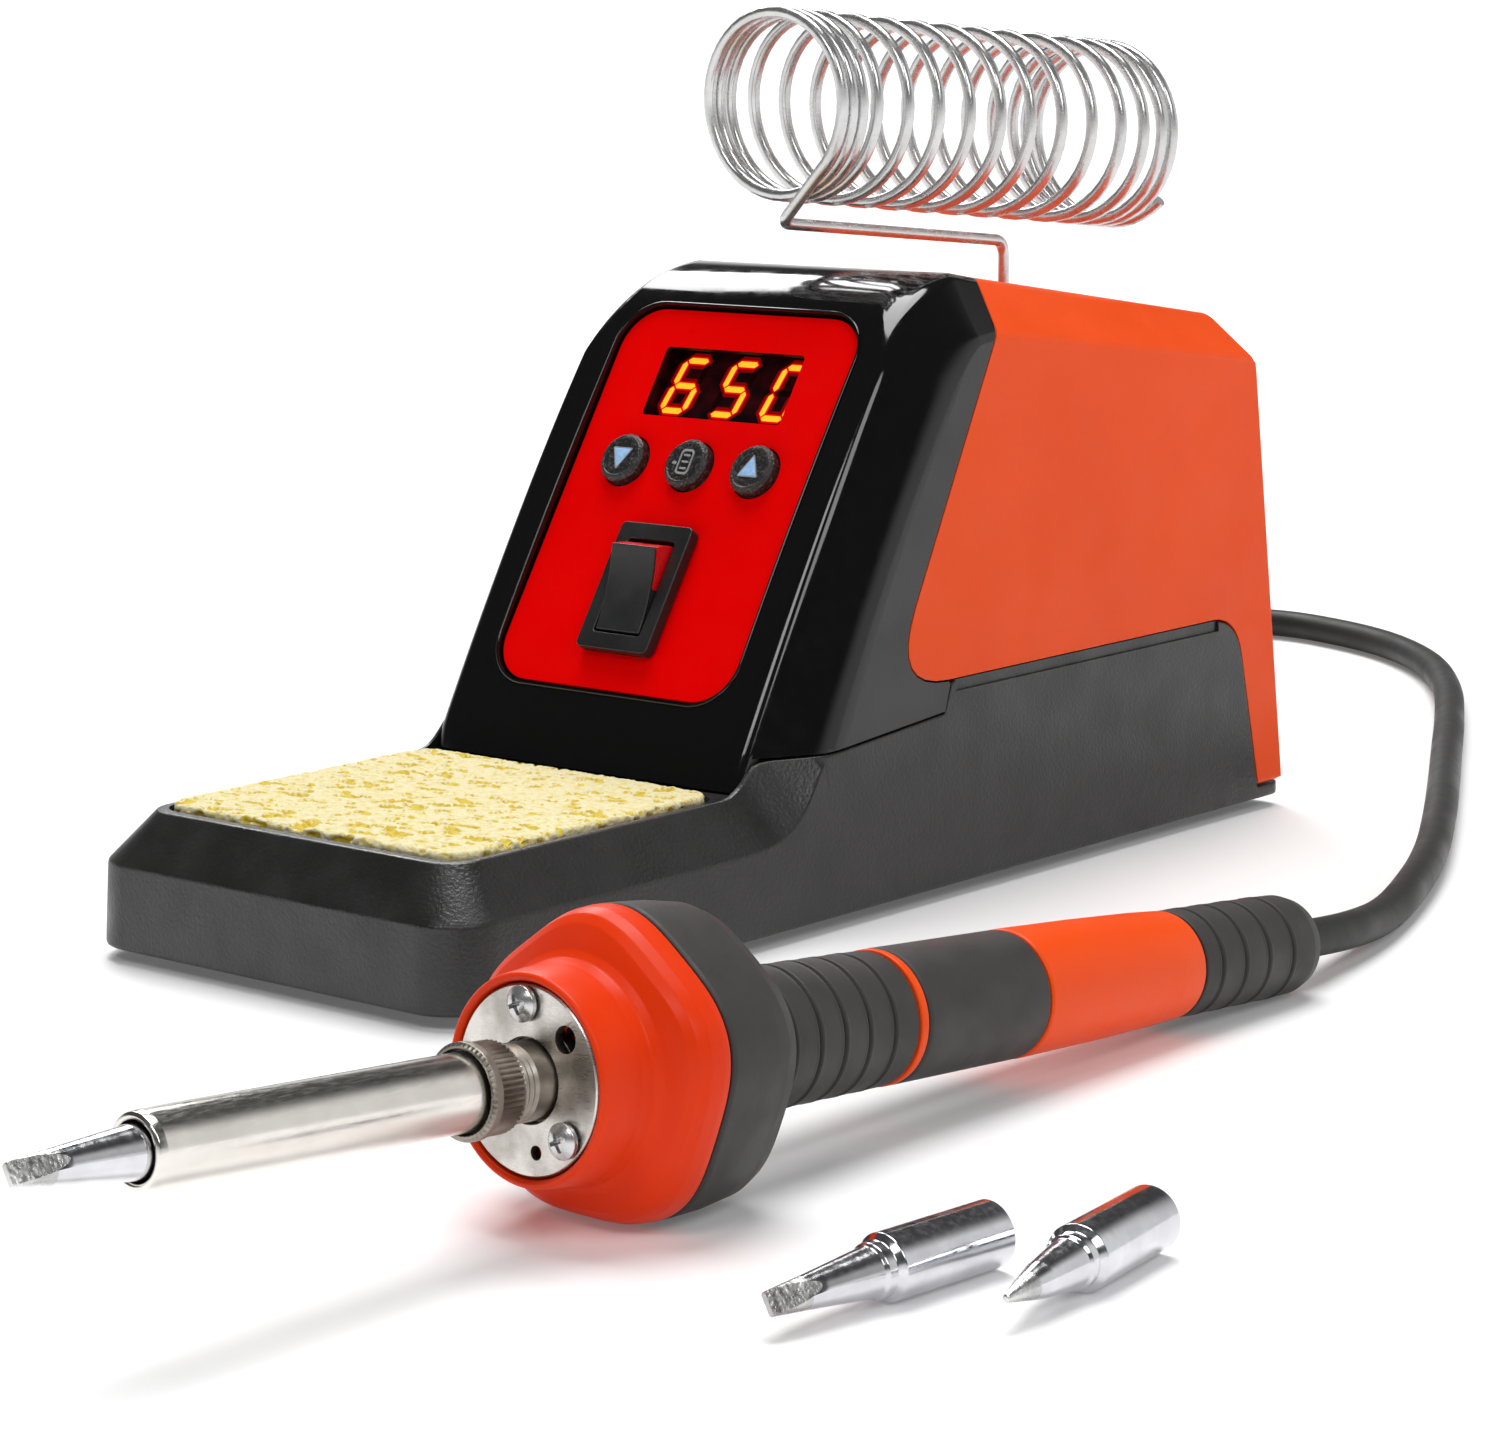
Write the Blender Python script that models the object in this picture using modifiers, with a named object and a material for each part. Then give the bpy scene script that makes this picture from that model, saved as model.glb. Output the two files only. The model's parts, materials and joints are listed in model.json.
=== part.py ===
"""Soldering station with its iron, coil rest, sponge and two spare tips.

Bench frame, in millimetres: X across the station, Y from the front of the tray to the rear,
Z up from the bench. The whole set is shifted by SHIFT so that it stands centred on the origin.
"""
import math

import bmesh
import bpy
from mathutils import Matrix, Vector

MM = 0.001
SHIFT = Vector((-65.85, -37.1, 0.0))
GAP = 0.3                       # clearance between touching pieces

# ---- station -------------------------------------------------------------------------------
BASE_Z = 2.0                    # underside of the shell, above the bench
SIDE_X0, SIDE_DRAFT = 38.34, 0.0435      # half width at the bottom, draft per mm of height
REAR_Y0, REAR_DRAFT = 194.3, 0.055
TRAY_TOP, CREASE_Z = 21.5, 14.3
RIM_X, RIM_Y, FRONT_R = 31.6, 6.6, 8.4
SHOULDER_Z, SEAM_REAR_Z = 26.1, 28.3
SHOULDER_Y, SEAM_REAR_Y = 78.2, 105.5
FENDER_Z, FENDER_REAR_Y, FENDER_R = 33.0, 182.3, 8.0
STRIP_Z = 4.0                   # black strip under the rear legs of the housing
WALL = 3.0

# front cover: centre line, outer edge and side line of its face, in (y, z)
FACE_CENTRE = [((65.6, 25.0), (75.9, 44.2), (90.5, 67.0), (104.2, 86.9)),
               ((104.2, 86.9), (106.5, 90.2), (112.5, 93.6), (121.5, 92.8))]
FACE_EDGE = [((66.0, 25.0), (76.5, 44.5), (88.5, 64.8), (99.0, 79.4)),
             ((99.0, 79.4), (104.5, 86.3), (112.0, 91.6), (121.5, 92.8))]
FACE_SIDE = [((77.8, 25.0), (87.0, 45.0), (98.5, 63.0), (109.0, 77.5)),
             ((109.0, 77.5), (112.0, 81.0), (114.5, 82.8), (117.5, 83.6))]
RIDGE_FRONT, RIDGE_SLOPE, RIDGE_X = (127.8, 91.7), -0.164, 26.0
SHOULDER_LINE, SHOULDER_SLOPE = (121.9, 84.1), -0.142

# label plane on the front cover
LABEL_FOOT = Vector((0.0, 70.4, 33.0))
LABEL_TILT = math.radians(57.27)
# the label's own frame: X across, Y up the face, Z out of it
LABEL = Matrix.Translation(LABEL_FOOT) @ Matrix.Rotation(LABEL_TILT, 4, "X")
LABEL_W, LABEL_H, LABEL_R = 47.6, 63.7, 7.0
WINDOW = (27.4, 11.0, 51.2)     # width, height, centre height on the label
MODULE = (30.0, 14.0, 51.7)      # the display behind the window, the same way
BUTTON_V, BUTTON_PITCH, BUTTON_R, BUTTON_TOP = 37.4, 13.2, 4.05, 1.9
SWITCH_V, SWITCH_W, SWITCH_H = 16.2, 14.4, 21.0
WELL_W, WELL_H = 9.4, 15.6       # the opening that the rocker turns in
ROCKER_TILT, ROCKER_R, ROCKER_W, PIVOT_H = math.radians(15.0), 7.4, 8.8, 0.04

# coil rest
WIRE_R = 0.95
POST_Y = 168.1
COIL_TURNS = [110.6, 112.8, 115.0, 117.9, 125.3, 132.8, 140.4, 148.1, 155.9, 163.9, 171.9,
              180.0, 186.4, 191.6, 194.5, 198.0]
COIL_SLOPE, COIL_Z0 = -0.098, 118.4
COIL_R_FRONT, COIL_R_REAR = 13.9, 14.8

# iron, along its own axis from the steel plate, positive towards the tip
IRON_AT = Vector((107.36, -57.39, 18.62))
IRON_YAW, IRON_PITCH = math.radians(-0.88), math.radians(4.66)
TIP_END = 72.3
CORD_R = 2.7


# ---- small tools -----------------------------------------------------------------------------
for old in list(bpy.data.objects):
    bpy.data.objects.remove(old, do_unlink=True)

scene_root = bpy.context.scene.collection
parts = bpy.data.collections.new("soldering_station")
cutters = bpy.data.collections.new("cutters")
scene_root.children.link(parts)
scene_root.children.link(cutters)


def material(name, colour, metallic=0.0, rough=0.5):
    mat = bpy.data.materials.new(name)
    mat.use_nodes = True
    shader = mat.node_tree.nodes["Principled BSDF"]
    shader.inputs["Base Color"].default_value = (*colour, 1.0)
    shader.inputs["Metallic"].default_value = metallic
    shader.inputs["Roughness"].default_value = rough
    mat.diffuse_color = (*colour, 1.0)
    return mat


BLACK = material("black_textured_abs", (0.03, 0.03, 0.03), 0.0, 0.55)
GLOSS = material("black_gloss_abs", (0.02, 0.02, 0.02), 0.0, 0.2)
ORANGE = material("orange_abs", (0.85, 0.15, 0.03), 0.0, 0.45)
RED = material("red_label", (0.8, 0.02, 0.02), 0.0, 0.4)
RUBBER = material("black_rubber", (0.03, 0.03, 0.03), 0.0, 0.75)
STEEL = material("stainless_steel", (0.6, 0.57, 0.53), 1.0, 0.3)
ZINC = material("bright_zinc", (0.7, 0.7, 0.72), 1.0, 0.3)
NUT_STEEL = material("darkened_steel", (0.35, 0.32, 0.28), 1.0, 0.45)
TIP_PLATE = material("plated_tip", (0.75, 0.75, 0.76), 1.0, 0.2)
SPONGE = material("cellulose", (0.85, 0.78, 0.4), 0.0, 0.95)
BOARD = material("circuit_board", (0.03, 0.22, 0.08), 0.0, 0.5)
COPPER = material("copper_winding", (0.7, 0.3, 0.12), 1.0, 0.4)
LENS = material("display_lens", (0.12, 0.0, 0.0), 0.0, 0.15)
CORD = material("cord_rubber", (0.04, 0.04, 0.04), 0.0, 0.6)


def add(name, mesh, mat=None, matrix=None, cutter=False):
    """A new object; matrix places it in the bench frame, in mm. Cutters only shape other pieces."""
    obj = bpy.data.objects.new(name, mesh)
    place = matrix or Matrix()
    obj.matrix_world = Matrix.Translation((place.translation + SHIFT) * MM) @ place.to_3x3().to_4x4()
    if cutter:
        cutters.objects.link(obj)
        obj.hide_render = True
        obj.display_type = "WIRE"
    else:
        parts.objects.link(obj)
        mesh.materials.append(mat)
    return obj


def mesh_from(name, work):
    """The bmesh as a mesh in metres, smooth with sharp corners kept."""
    bmesh.ops.scale(work, vec=(MM, MM, MM), verts=work.verts)
    mesh = bpy.data.meshes.new(name)
    work.to_mesh(mesh)
    work.free()
    mesh.shade_smooth()
    mesh.set_sharp_from_angle(angle=math.radians(30))
    return mesh


def boolean(obj, cutter, operation="DIFFERENCE"):
    mod = obj.modifiers.new(cutter.name, "BOOLEAN")
    mod.operation = operation
    mod.object = cutter
    mod.solver = "EXACT"
    return obj


def bezier(p0, p1, p2, p3, count):
    found = []
    for i in range(count + 1):
        t = i / count
        a, b, c, d = (1 - t) ** 3, 3 * t * (1 - t) ** 2, 3 * t * t * (1 - t), t ** 3
        found.append((a * p0[0] + b * p1[0] + c * p2[0] + d * p3[0],
                      a * p0[1] + b * p1[1] + c * p2[1] + d * p3[1]))
    return found


def filleted(corners, steps=6):
    """A closed outline from (x, y, radius) corners."""
    found = []
    count = len(corners)
    for i, (x, y, radius) in enumerate(corners):
        here = Vector((x, y))
        if radius <= 0:
            found.append((x, y))
            continue
        a = (Vector(corners[i - 1][:2]) - here).normalized()
        b = (Vector(corners[(i + 1) % count][:2]) - here).normalized()
        half = a.angle(b) / 2
        reach = radius / math.tan(half)
        centre = here + (a + b).normalized() * (radius / math.sin(half))
        start = here + a * reach - centre
        turn = start.angle_signed(here + b * reach - centre)
        for k in range(steps + 1):
            c, s = math.cos(-turn * k / steps), math.sin(-turn * k / steps)
            found.append((centre.x + c * start.x - s * start.y, centre.y + s * start.x + c * start.y))
    return found


def rounded(width, height, centre, radius, steps=6):
    """A rectangle centred on x = 0 with rounded corners."""
    u, v = width / 2, height / 2
    return filleted([(-u, centre - v, radius), (u, centre - v, radius), (u, centre + v, radius),
                     (-u, centre + v, radius)], steps)


def offset(outline, distance):
    """A closed outline moved inwards by distance, or outwards if it is negative."""
    count = len(outline)
    area = sum(outline[i - 1][0] * outline[i][1] - outline[i][0] * outline[i - 1][1]
               for i in range(count))
    sign = 1.0 if area > 0 else -1.0
    found = []
    for i in range(count):
        a, b, c = (Vector(outline[i - 1]), Vector(outline[i]), Vector(outline[(i + 1) % count]))
        n1 = Vector((-(b - a).y, (b - a).x)).normalized() * sign
        n2 = Vector((-(c - b).y, (c - b).x)).normalized() * sign
        n = (n1 + n2).normalized()
        found.append(tuple(b + n * (distance / max(0.35, n.dot(n1)))))
    return found


def prism(name, outline, frame, low, high, mat=None, cutter=False):
    """A flat outline in frame's XY plane, extruded along its Z from low to high."""
    work = bmesh.new()
    face = work.faces.new([work.verts.new((u, v, low)) for u, v in outline])
    grown = bmesh.ops.extrude_face_region(work, geom=[face])
    top = [item for item in grown["geom"] if isinstance(item, bmesh.types.BMVert)]
    bmesh.ops.translate(work, verts=top, vec=(0, 0, high - low))
    bmesh.ops.recalc_face_normals(work, faces=work.faces)
    return add(name, mesh_from(name, work), mat, frame, cutter)


def box(name, low, high, mat=None, cutter=False, radius=0.0):
    """A block between two corners, its upright edges rounded."""
    low, high = Vector(low), Vector(high)
    work = bmesh.new()
    bmesh.ops.create_cube(work, size=1.0)
    bmesh.ops.scale(work, vec=high - low, verts=work.verts)
    if radius:
        edges = [e for e in work.edges if abs(e.verts[0].co.z - e.verts[1].co.z) > 1e-6]
        bmesh.ops.bevel(work, geom=edges, offset=radius, segments=5, profile=0.5, affect="EDGES")
    return add(name, mesh_from(name, work), mat, Matrix.Translation((low + high) / 2), cutter)


def turned(name, profile, frame, sides=32, mat=None, cutter=False):
    """A profile of (along, radius) turned about frame's Z axis by a Screw modifier; one that stays
    off the axis is a closed loop. The Screw wants it running down the outer side."""
    upward = sum(a[1] * b[0] - b[1] * a[0] for a, b in zip(profile, profile[1:] + profile[:1])) > 0
    work = bmesh.new()
    verts = [work.verts.new((radius * MM, 0, along * MM))
             for along, radius in (reversed(profile) if upward else profile)]
    for a, b in zip(verts, verts[1:]):
        work.edges.new((a, b))
    if min(radius for _, radius in profile) > 0:
        work.edges.new((verts[-1], verts[0]))
    mesh = bpy.data.meshes.new(name)
    work.to_mesh(mesh)
    work.free()
    obj = add(name, mesh, mat, frame, cutter)
    screw = obj.modifiers.new("turn", "SCREW")
    screw.axis = "Z"
    screw.angle = 2 * math.pi
    screw.steps = screw.render_steps = sides
    screw.use_merge_vertices = True
    screw.merge_threshold = 0.00001
    screw.use_smooth_shade = True
    return obj


def shaped_ring(name, profile, frame, sides, shape, mat):
    """A turned ring whose outline isn't round: shape(angle, along, radius) gives the real radius."""
    work = bmesh.new()
    rings = []
    for along, radius in profile:
        ring = []
        for k in range(sides):
            angle = 2 * math.pi * k / sides
            r = shape(angle, along, radius)
            ring.append(work.verts.new((r * math.cos(angle), r * math.sin(angle), along)))
        rings.append(ring)
    for one, two in zip(rings, rings[1:] + rings[:1]):
        for k in range(sides):
            n = (k + 1) % sides
            work.faces.new((one[k], two[k], two[n], one[n]))
    bmesh.ops.recalc_face_normals(work, faces=work.faces)
    return add(name, mesh_from(name, work), mat, frame)


def lofted(name, points, faces, mat=None, cutter=False):
    """A closed body from bench points joined into faces, for lofts between unlike sections."""
    work = bmesh.new()
    verts = [work.verts.new(p) for p in points]
    for face in faces:
        work.faces.new([verts[i] for i in face])
    bmesh.ops.remove_doubles(work, verts=work.verts, dist=0.001)
    bmesh.ops.recalc_face_normals(work, faces=work.faces)
    return add(name, mesh_from(name, work), mat, None, cutter)


UPRIGHT = Matrix()
# outlines in (y, z) extruded along X
SIDEWAYS = Matrix(((0, 0, 1, 0), (1, 0, 0, 0), (0, 1, 0, 0), (0, 0, 0, 1)))


def smooth_path(route, spacing):
    """Points every spacing mm on a Catmull-Rom curve through the route."""
    pts = [Vector(p) for p in route]
    pts = [2 * pts[0] - pts[1]] + pts + [2 * pts[-1] - pts[-2]]
    fine = []
    for a, b, c, d in zip(pts, pts[1:], pts[2:], pts[3:]):
        for k in range(24):
            t = k / 24
            fine.append(0.5 * ((2 * b) + (c - a) * t + (2 * a - 5 * b + 4 * c - d) * t * t
                               + (3 * b - a - 3 * c + d) * t ** 3))
    fine.append(pts[-2])
    total = sum((q - p).length for p, q in zip(fine, fine[1:]))
    count = max(2, round(total / spacing))
    found, walked, goal = [fine[0]], 0.0, total / count
    for p, q in zip(fine, fine[1:]):
        step = (q - p).length
        while walked + step >= goal - 1e-9 and len(found) < count:
            found.append(p.lerp(q, (goal - walked) / step))
            goal += total / count
        walked += step
    found.append(fine[-1])
    return found


def wire(name, points, radius, mat, origin=None):
    at = Vector(origin) if origin is not None else Vector((0, 0, 0))
    curve = bpy.data.curves.new(name, "CURVE")
    curve.dimensions = "3D"
    curve.bevel_depth = radius * MM
    curve.bevel_resolution = 2
    curve.use_fill_caps = True
    spline = curve.splines.new("POLY")
    spline.points.add(len(points) - 1)
    for point, place in zip(spline.points, points):
        point.co = (*((Vector(place) - at) * MM), 1.0)
    curve.materials.append(mat)
    obj = bpy.data.objects.new(name, curve)
    obj.location = (at + SHIFT) * MM
    parts.objects.link(obj)
    return obj


def bevel(obj, width, angle=30.0, segments=2):
    mod = obj.modifiers.new("edges", "BEVEL")
    mod.width = width * MM
    mod.segments = segments
    mod.limit_method = "ANGLE"
    mod.angle_limit = math.radians(angle)
    return obj


def side_x(z):
    return SIDE_X0 - SIDE_DRAFT * (z - BASE_Z)


def rear_y(z):
    return REAR_Y0 - REAR_DRAFT * (z - BASE_Z)


# ---- base shell --------------------------------------------------------------------------------
def base_ring(x, y, crease, rim, inward):
    """Half a section: foot, wall, crease and rim, as bench points. inward is the plan direction
    from the wall towards the middle of the tray, used for the small edge roundings."""
    cx, cy, cz = crease
    rx, ry, rz = rim
    nx, ny = inward
    slope = Vector((rx - cx, ry - cy, rz - cz))
    return [Vector((x + 0.5 * nx, y + 0.5 * ny, BASE_Z)),
            Vector((x, y, BASE_Z + 0.5)),
            Vector((cx + 0.1 * (x - cx), cy + 0.1 * (y - cy), cz - 0.5)),
            Vector((cx, cy, cz)) + slope * 0.08,
            Vector((rx, ry, rz)) - slope * 0.06 - Vector((0, 0, 0.05)),
            Vector((rx + 0.5 * nx, ry + 0.5 * ny, rz))]


def base_stations():
    """Half sections from the middle of the front edge round the corner and back along the side."""
    rings = []
    crease_in, steps = 0.7, 6
    for k in range(steps + 1):
        a = math.pi / 2 * k / steps
        s, c = math.sin(a), math.cos(a)
        r0, r2 = FRONT_R, 5.2
        x0 = SIDE_X0 - r0 + r0 * s
        y0 = r0 - r0 * c
        xc = side_x(CREASE_Z) - (r0 - 0.2) * (1 - s)
        yc = crease_in + (r0 - 0.2) * (1 - c)
        xr = RIM_X - r2 * (1 - s)
        yr = RIM_Y + r2 * (1 - c)
        rings.append(base_ring(x0, y0, (xc, yc, CREASE_Z), (xr, yr, TRAY_TOP), (-s, c)))
    for y in (20.0, 40.0, 58.0):
        rings.append(base_ring(SIDE_X0, y, (side_x(CREASE_Z), y, CREASE_Z),
                               (RIM_X, y, TRAY_TOP), (-1, 0)))
    shoulder = [((RIM_X, 61.0, 21.5), (61.5, 14.45)), ((RIM_X, 63.0, 21.8), (64.5, 14.8)),
                ((RIM_X, 64.7, 22.6), (67.2, 15.5)), ((RIM_X, 66.2, 23.8), (69.8, 16.7)),
                ((RIM_X, 67.4, 25.0), (72.0, 18.3)), ((31.9, 68.5, 25.8), (73.6, 20.0)),
                ((32.5, 69.9, 26.0), (75.0, 22.0)), ((34.4, 73.0, 26.05), (76.4, 23.9)),
                ((36.3, 76.4, 26.1), (77.4, 25.0))]
    for rim, (yc, zc) in shoulder:
        rings.append(base_ring(SIDE_X0, yc, (side_x(zc), yc, zc), rim, (-1, 0)))
    arc = filleted([(120.0, FENDER_Z, 0), (FENDER_REAR_Y, FENDER_Z, FENDER_R), (186.7, STRIP_Z, 0)],
                   5)[1:-1]
    tops = [(SHOULDER_Y, SHOULDER_Z), (92.0, 27.2), (SEAM_REAR_Y, SEAM_REAR_Z),
            (107.4, FENDER_Z - 0.6), (108.2, FENDER_Z), (130.0, FENDER_Z), (152.0, FENDER_Z), *arc,
            (184.3, 20.0), (185.6, 11.5), (186.7, STRIP_Z), (191.3, STRIP_Z)]
    for y, z in tops:
        x = side_x(z)
        rings.append([Vector((SIDE_X0 - 0.5, y, BASE_Z)), Vector((SIDE_X0, y, BASE_Z + 0.5)),
                      Vector((side_x(z - 1.1), y, z - 1.1)), Vector((side_x(z - 0.8), y, z - 0.8)),
                      Vector((x, y, z - 0.35)), Vector((x - 0.35, y, z))])
    for y, dx in ((193.2, 0.8), (194.1, 1.9), (194.3, 3.0)):
        rings.append([Vector((SIDE_X0 - dx - 0.5, y, BASE_Z)), Vector((SIDE_X0 - dx, y, BASE_Z + 0.5)),
                      Vector((SIDE_X0 - dx, y, 2.9)), Vector((SIDE_X0 - dx, y, 3.2)),
                      Vector((SIDE_X0 - dx, y, 3.65)), Vector((SIDE_X0 - dx - 0.3, y, STRIP_Z))])
    return rings


def make_base():
    halves = base_stations()
    size = len(halves[0])
    points, faces = [], []
    for half in halves:
        points += half + [Vector((-p.x, p.y, p.z)) for p in reversed(half)]
    ring = 2 * size
    for i in range(len(halves) - 1):
        for k in range(ring):
            n = (k + 1) % ring
            faces.append((i * ring + k, i * ring + n, (i + 1) * ring + n, (i + 1) * ring + k))
    last = (len(halves) - 1) * ring
    for k in range(size - 1):
        for start in (0, last):
            faces.append((start + k, start + k + 1, start + ring - 2 - k, start + ring - 1 - k))
    base = lofted("base_shell", points, faces, BLACK)

    cavity = prism("cut_base_cavity", [(-31.3, 72.0), (31.3, 72.0), (31.3, 79.0), (35.2, 80.5),
                                       (35.2, 191.6), (-35.2, 191.6), (-35.2, 80.5), (-31.3, 79.0)],
                   UPRIGHT, -1.0, 60.0, cutter=True)
    under = prism("cut_under_tray", filleted([(-35.2, 3.6, 5.5), (35.2, 3.6, 5.5), (35.2, 81.0, 0),
                                              (-35.2, 81.0, 0)]), UPRIGHT, -1.0, 11.4, cutter=True)
    for side in (-1, 1):
        for y, top in ((16.0, 13.0), (150.0, 24.0)):
            post = turned(f"post_{side}_{int(y)}", [(4.3, 0), (4.3, 4.0), (top, 4.0), (top, 0)],
                          Matrix.Translation((side * 31.4, y, 0)), 16, cutter=True)
            boolean(cavity if y > 72 else under, post)
    boolean(base, cavity)
    boolean(base, under)
    for side in (-1, 1):
        for y, top in ((16.0, 10.0), (150.0, 20.0)):
            hole = turned(f"cut_post_hole_{side}_{int(y)}", [(3.0, 0), (3.0, 1.6), (top, 1.6), (top, 0)],
                          Matrix.Translation((side * 31.4, y, 0)), 12, cutter=True)
            boolean(base, hole)
    boolean(base, box("cut_deck", (-31.3, 60.4, TRAY_TOP - 0.05), (31.3, 80.0, 40.0), cutter=True))
    boolean(base, box("cut_sponge_pocket", (-30.5, 8.2, 13.4), (30.5, 62.4, 30.0), cutter=True,
                      radius=4.6))
    for side in (-1, 1):
        x0, x1 = sorted((side * (side_x(32.0) - 0.45), side * 45.0))
        boolean(base, box(f"cut_ledge_{side}", (x0, 108.4, 31.3), (x1, 177.0, 34.0), cutter=True))
    return base


make_base()

plate = box("bottom_plate", (-34.6, 4.2, 2.2), (34.6, 191.2, 4.0), BLACK, radius=4.8)
for row in range(6):
    for side in (-1, 1):
        x0, x1 = sorted((side * 6.0, side * 22.0))
        boolean(plate, box(f"cut_vent_{row}_{side}", (x0, 96.0 + 8.0 * row, 1.0),
                           (x1, 99.0 + 8.0 * row, 6.0), cutter=True))
FEET = {"fl": (-27.0, 14.0), "fr": (27.0, 14.0), "rl": (-27.0, 181.0), "rr": (27.0, 181.0)}
for place, (x, y) in FEET.items():
    turned(f"foot_{place}", [(0.0, 0), (0.0, 4.4), (0.5, 5.0), (1.9, 5.0), (1.9, 0)],
           Matrix.Translation((x, y, 0)), 20, RUBBER)
SCREWS = {"fl": (-31.4, 16.0), "fr": (31.4, 16.0), "rl": (-31.4, 150.0), "rr": (31.4, 150.0)}
for place, (x, y) in SCREWS.items():
    at = Matrix.Translation((x, y, 0))
    boolean(plate, turned(f"cut_screw_{place}", [(1.0, 0), (1.0, 3.0), (3.3, 3.0), (3.3, 1.8),
                                                 (6.0, 1.8), (6.0, 0)], at, 16, cutter=True))
    turned(f"case_screw_{place}", [(2.3, 0), (2.3, 2.6), (3.0, 2.6), (3.05, 1.2), (9.4, 1.2),
                                   (9.7, 0)], at, 16, ZINC)


# ---- front cover and rear housing ----------------------------------------------------------------
def envelope_lines():
    """Matching (x, y, z) lines up the front, over the top and down the rear: centre, edge, side."""
    centre, edge, side = [], [], []
    for y, z in ((59.2, STRIP_Z), (62.9, 17.0)):
        centre.append((25.5, y, z))
        edge.append((30.6, y + 0.4, z))
        side.append((side_x(z), y + 13.0, z))
    for part, count in ((0, 9), (1, 8)):
        lines = [bezier(*curve[part], count) for curve in (FACE_CENTRE, FACE_EDGE, FACE_SIDE)]
        for i in range(0 if part == 0 else 1, count + 1):
            t = i / count
            xc = 25.5 if part == 0 else 25.5 - 4.5 * t
            xe = 30.5 - 0.3 * t if part == 0 else 30.2 - 3.6 * t
            centre.append((xc, *lines[0][i]))
            edge.append((xe, *lines[1][i]))
            side.append((side_x(lines[2][i][1]), *lines[2][i]))
    ridge_z = RIDGE_FRONT[1]
    line_z = SHOULDER_LINE[1]
    centre.append((20.0, *RIDGE_FRONT))
    edge.append((RIDGE_X, *RIDGE_FRONT))
    side.append((side_x(line_z), *SHOULDER_LINE))
    top_y = rear_y(81.5)
    top_z = ridge_z + RIDGE_SLOPE * (top_y - RIDGE_FRONT[0])
    low_y = rear_y(74.5)
    low_z = line_z + SHOULDER_SLOPE * (low_y - SHOULDER_LINE[0])
    centre.append((20.0, top_y, top_z))
    edge.append((RIDGE_X, top_y, top_z))
    side.append((side_x(low_z), low_y, low_z))
    foot_y = rear_y(STRIP_Z + 0.3)
    centre.append((20.0, foot_y, STRIP_Z + 0.3))
    edge.append((30.0, foot_y, STRIP_Z + 0.3))
    side.append((side_x(STRIP_Z + 0.3), foot_y, STRIP_Z + 0.3))
    return centre, edge, side


def inset_line(line, distance, narrower):
    moved = offset([(y, z) for _, y, z in line], distance)
    return [(x - narrower, y, z) for (x, _, _), (y, z) in zip(line, moved)]


def envelope(name, inset=0.0, mat=None, cutter=False):
    lines = envelope_lines()
    if inset:
        lines = [inset_line(line, inset, extra) for line, extra in
                 zip(lines, (0.0, 0.8, inset))]
        lines = [[(x, y, z if 0 < i < len(line) - 1 else z - 6.0)
                  for i, (x, y, z) in enumerate(line)] for line in lines]
    count = len(lines[0])
    points, index = [], {}
    for li, line in enumerate(lines):
        for sign in (1, -1):
            for i, (x, y, z) in enumerate(line):
                index[li, sign, i] = len(points)
                points.append((sign * x, y, z))
    faces = []
    for i in range(count):
        n = (i + 1) % count
        for a, b in ((0, 1), (1, 2)):
            for sign in (1, -1):
                faces.append((index[a, sign, i], index[b, sign, i], index[b, sign, n],
                              index[a, sign, n]))
        faces.append((index[0, 1, i], index[0, 1, n], index[0, -1, n], index[0, -1, i]))
    for sign in (1, -1):
        faces.append(tuple(index[2, sign, i] for i in range(count)))
    return lofted(name, points, faces, mat, cutter)


HOUSING_LINE = [(135.6, 101.7, 0), (127.8, 91.7, 0), (121.9, 84.1, 0), (92.9, 33.3, 8.0),
                (FENDER_REAR_Y, 33.3, FENDER_R), (187.0, STRIP_Z + 0.3, 0), (205.0, STRIP_Z + 0.3, 0),
                (205.0, 101.7, 0)]


def make_housing():
    housing = bevel(envelope("rear_housing", mat=ORANGE), 1.1, 24)
    inner = envelope("cut_housing_inside", WALL, cutter=True)
    region = prism("cut_housing_region", filleted(HOUSING_LINE, 7), SIDEWAYS, -50, 50, cutter=True)
    boolean(housing, region, "INTERSECT")
    boolean(housing, inner)
    bush = turned("cut_holder_hole", [(60, 0), (60, 3.3), (95, 3.3), (95, 0)],
                  Matrix.Translation((0, POST_Y, 0)), 20, cutter=True)
    boolean(housing, bush)
    for name, x in (("mains", 18.0), ("iron", -14.0)):
        hole = turned(f"cut_{name}_gland", [(180, 0), (180, 5.3), (200, 5.3), (200, 0)],
                      Matrix.Translation((x, 0, 24.0)) @ Matrix.Rotation(-math.pi / 2, 4, "X"), 20,
                      cutter=True)
        boolean(housing, hole)
    return housing


make_housing()


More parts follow.
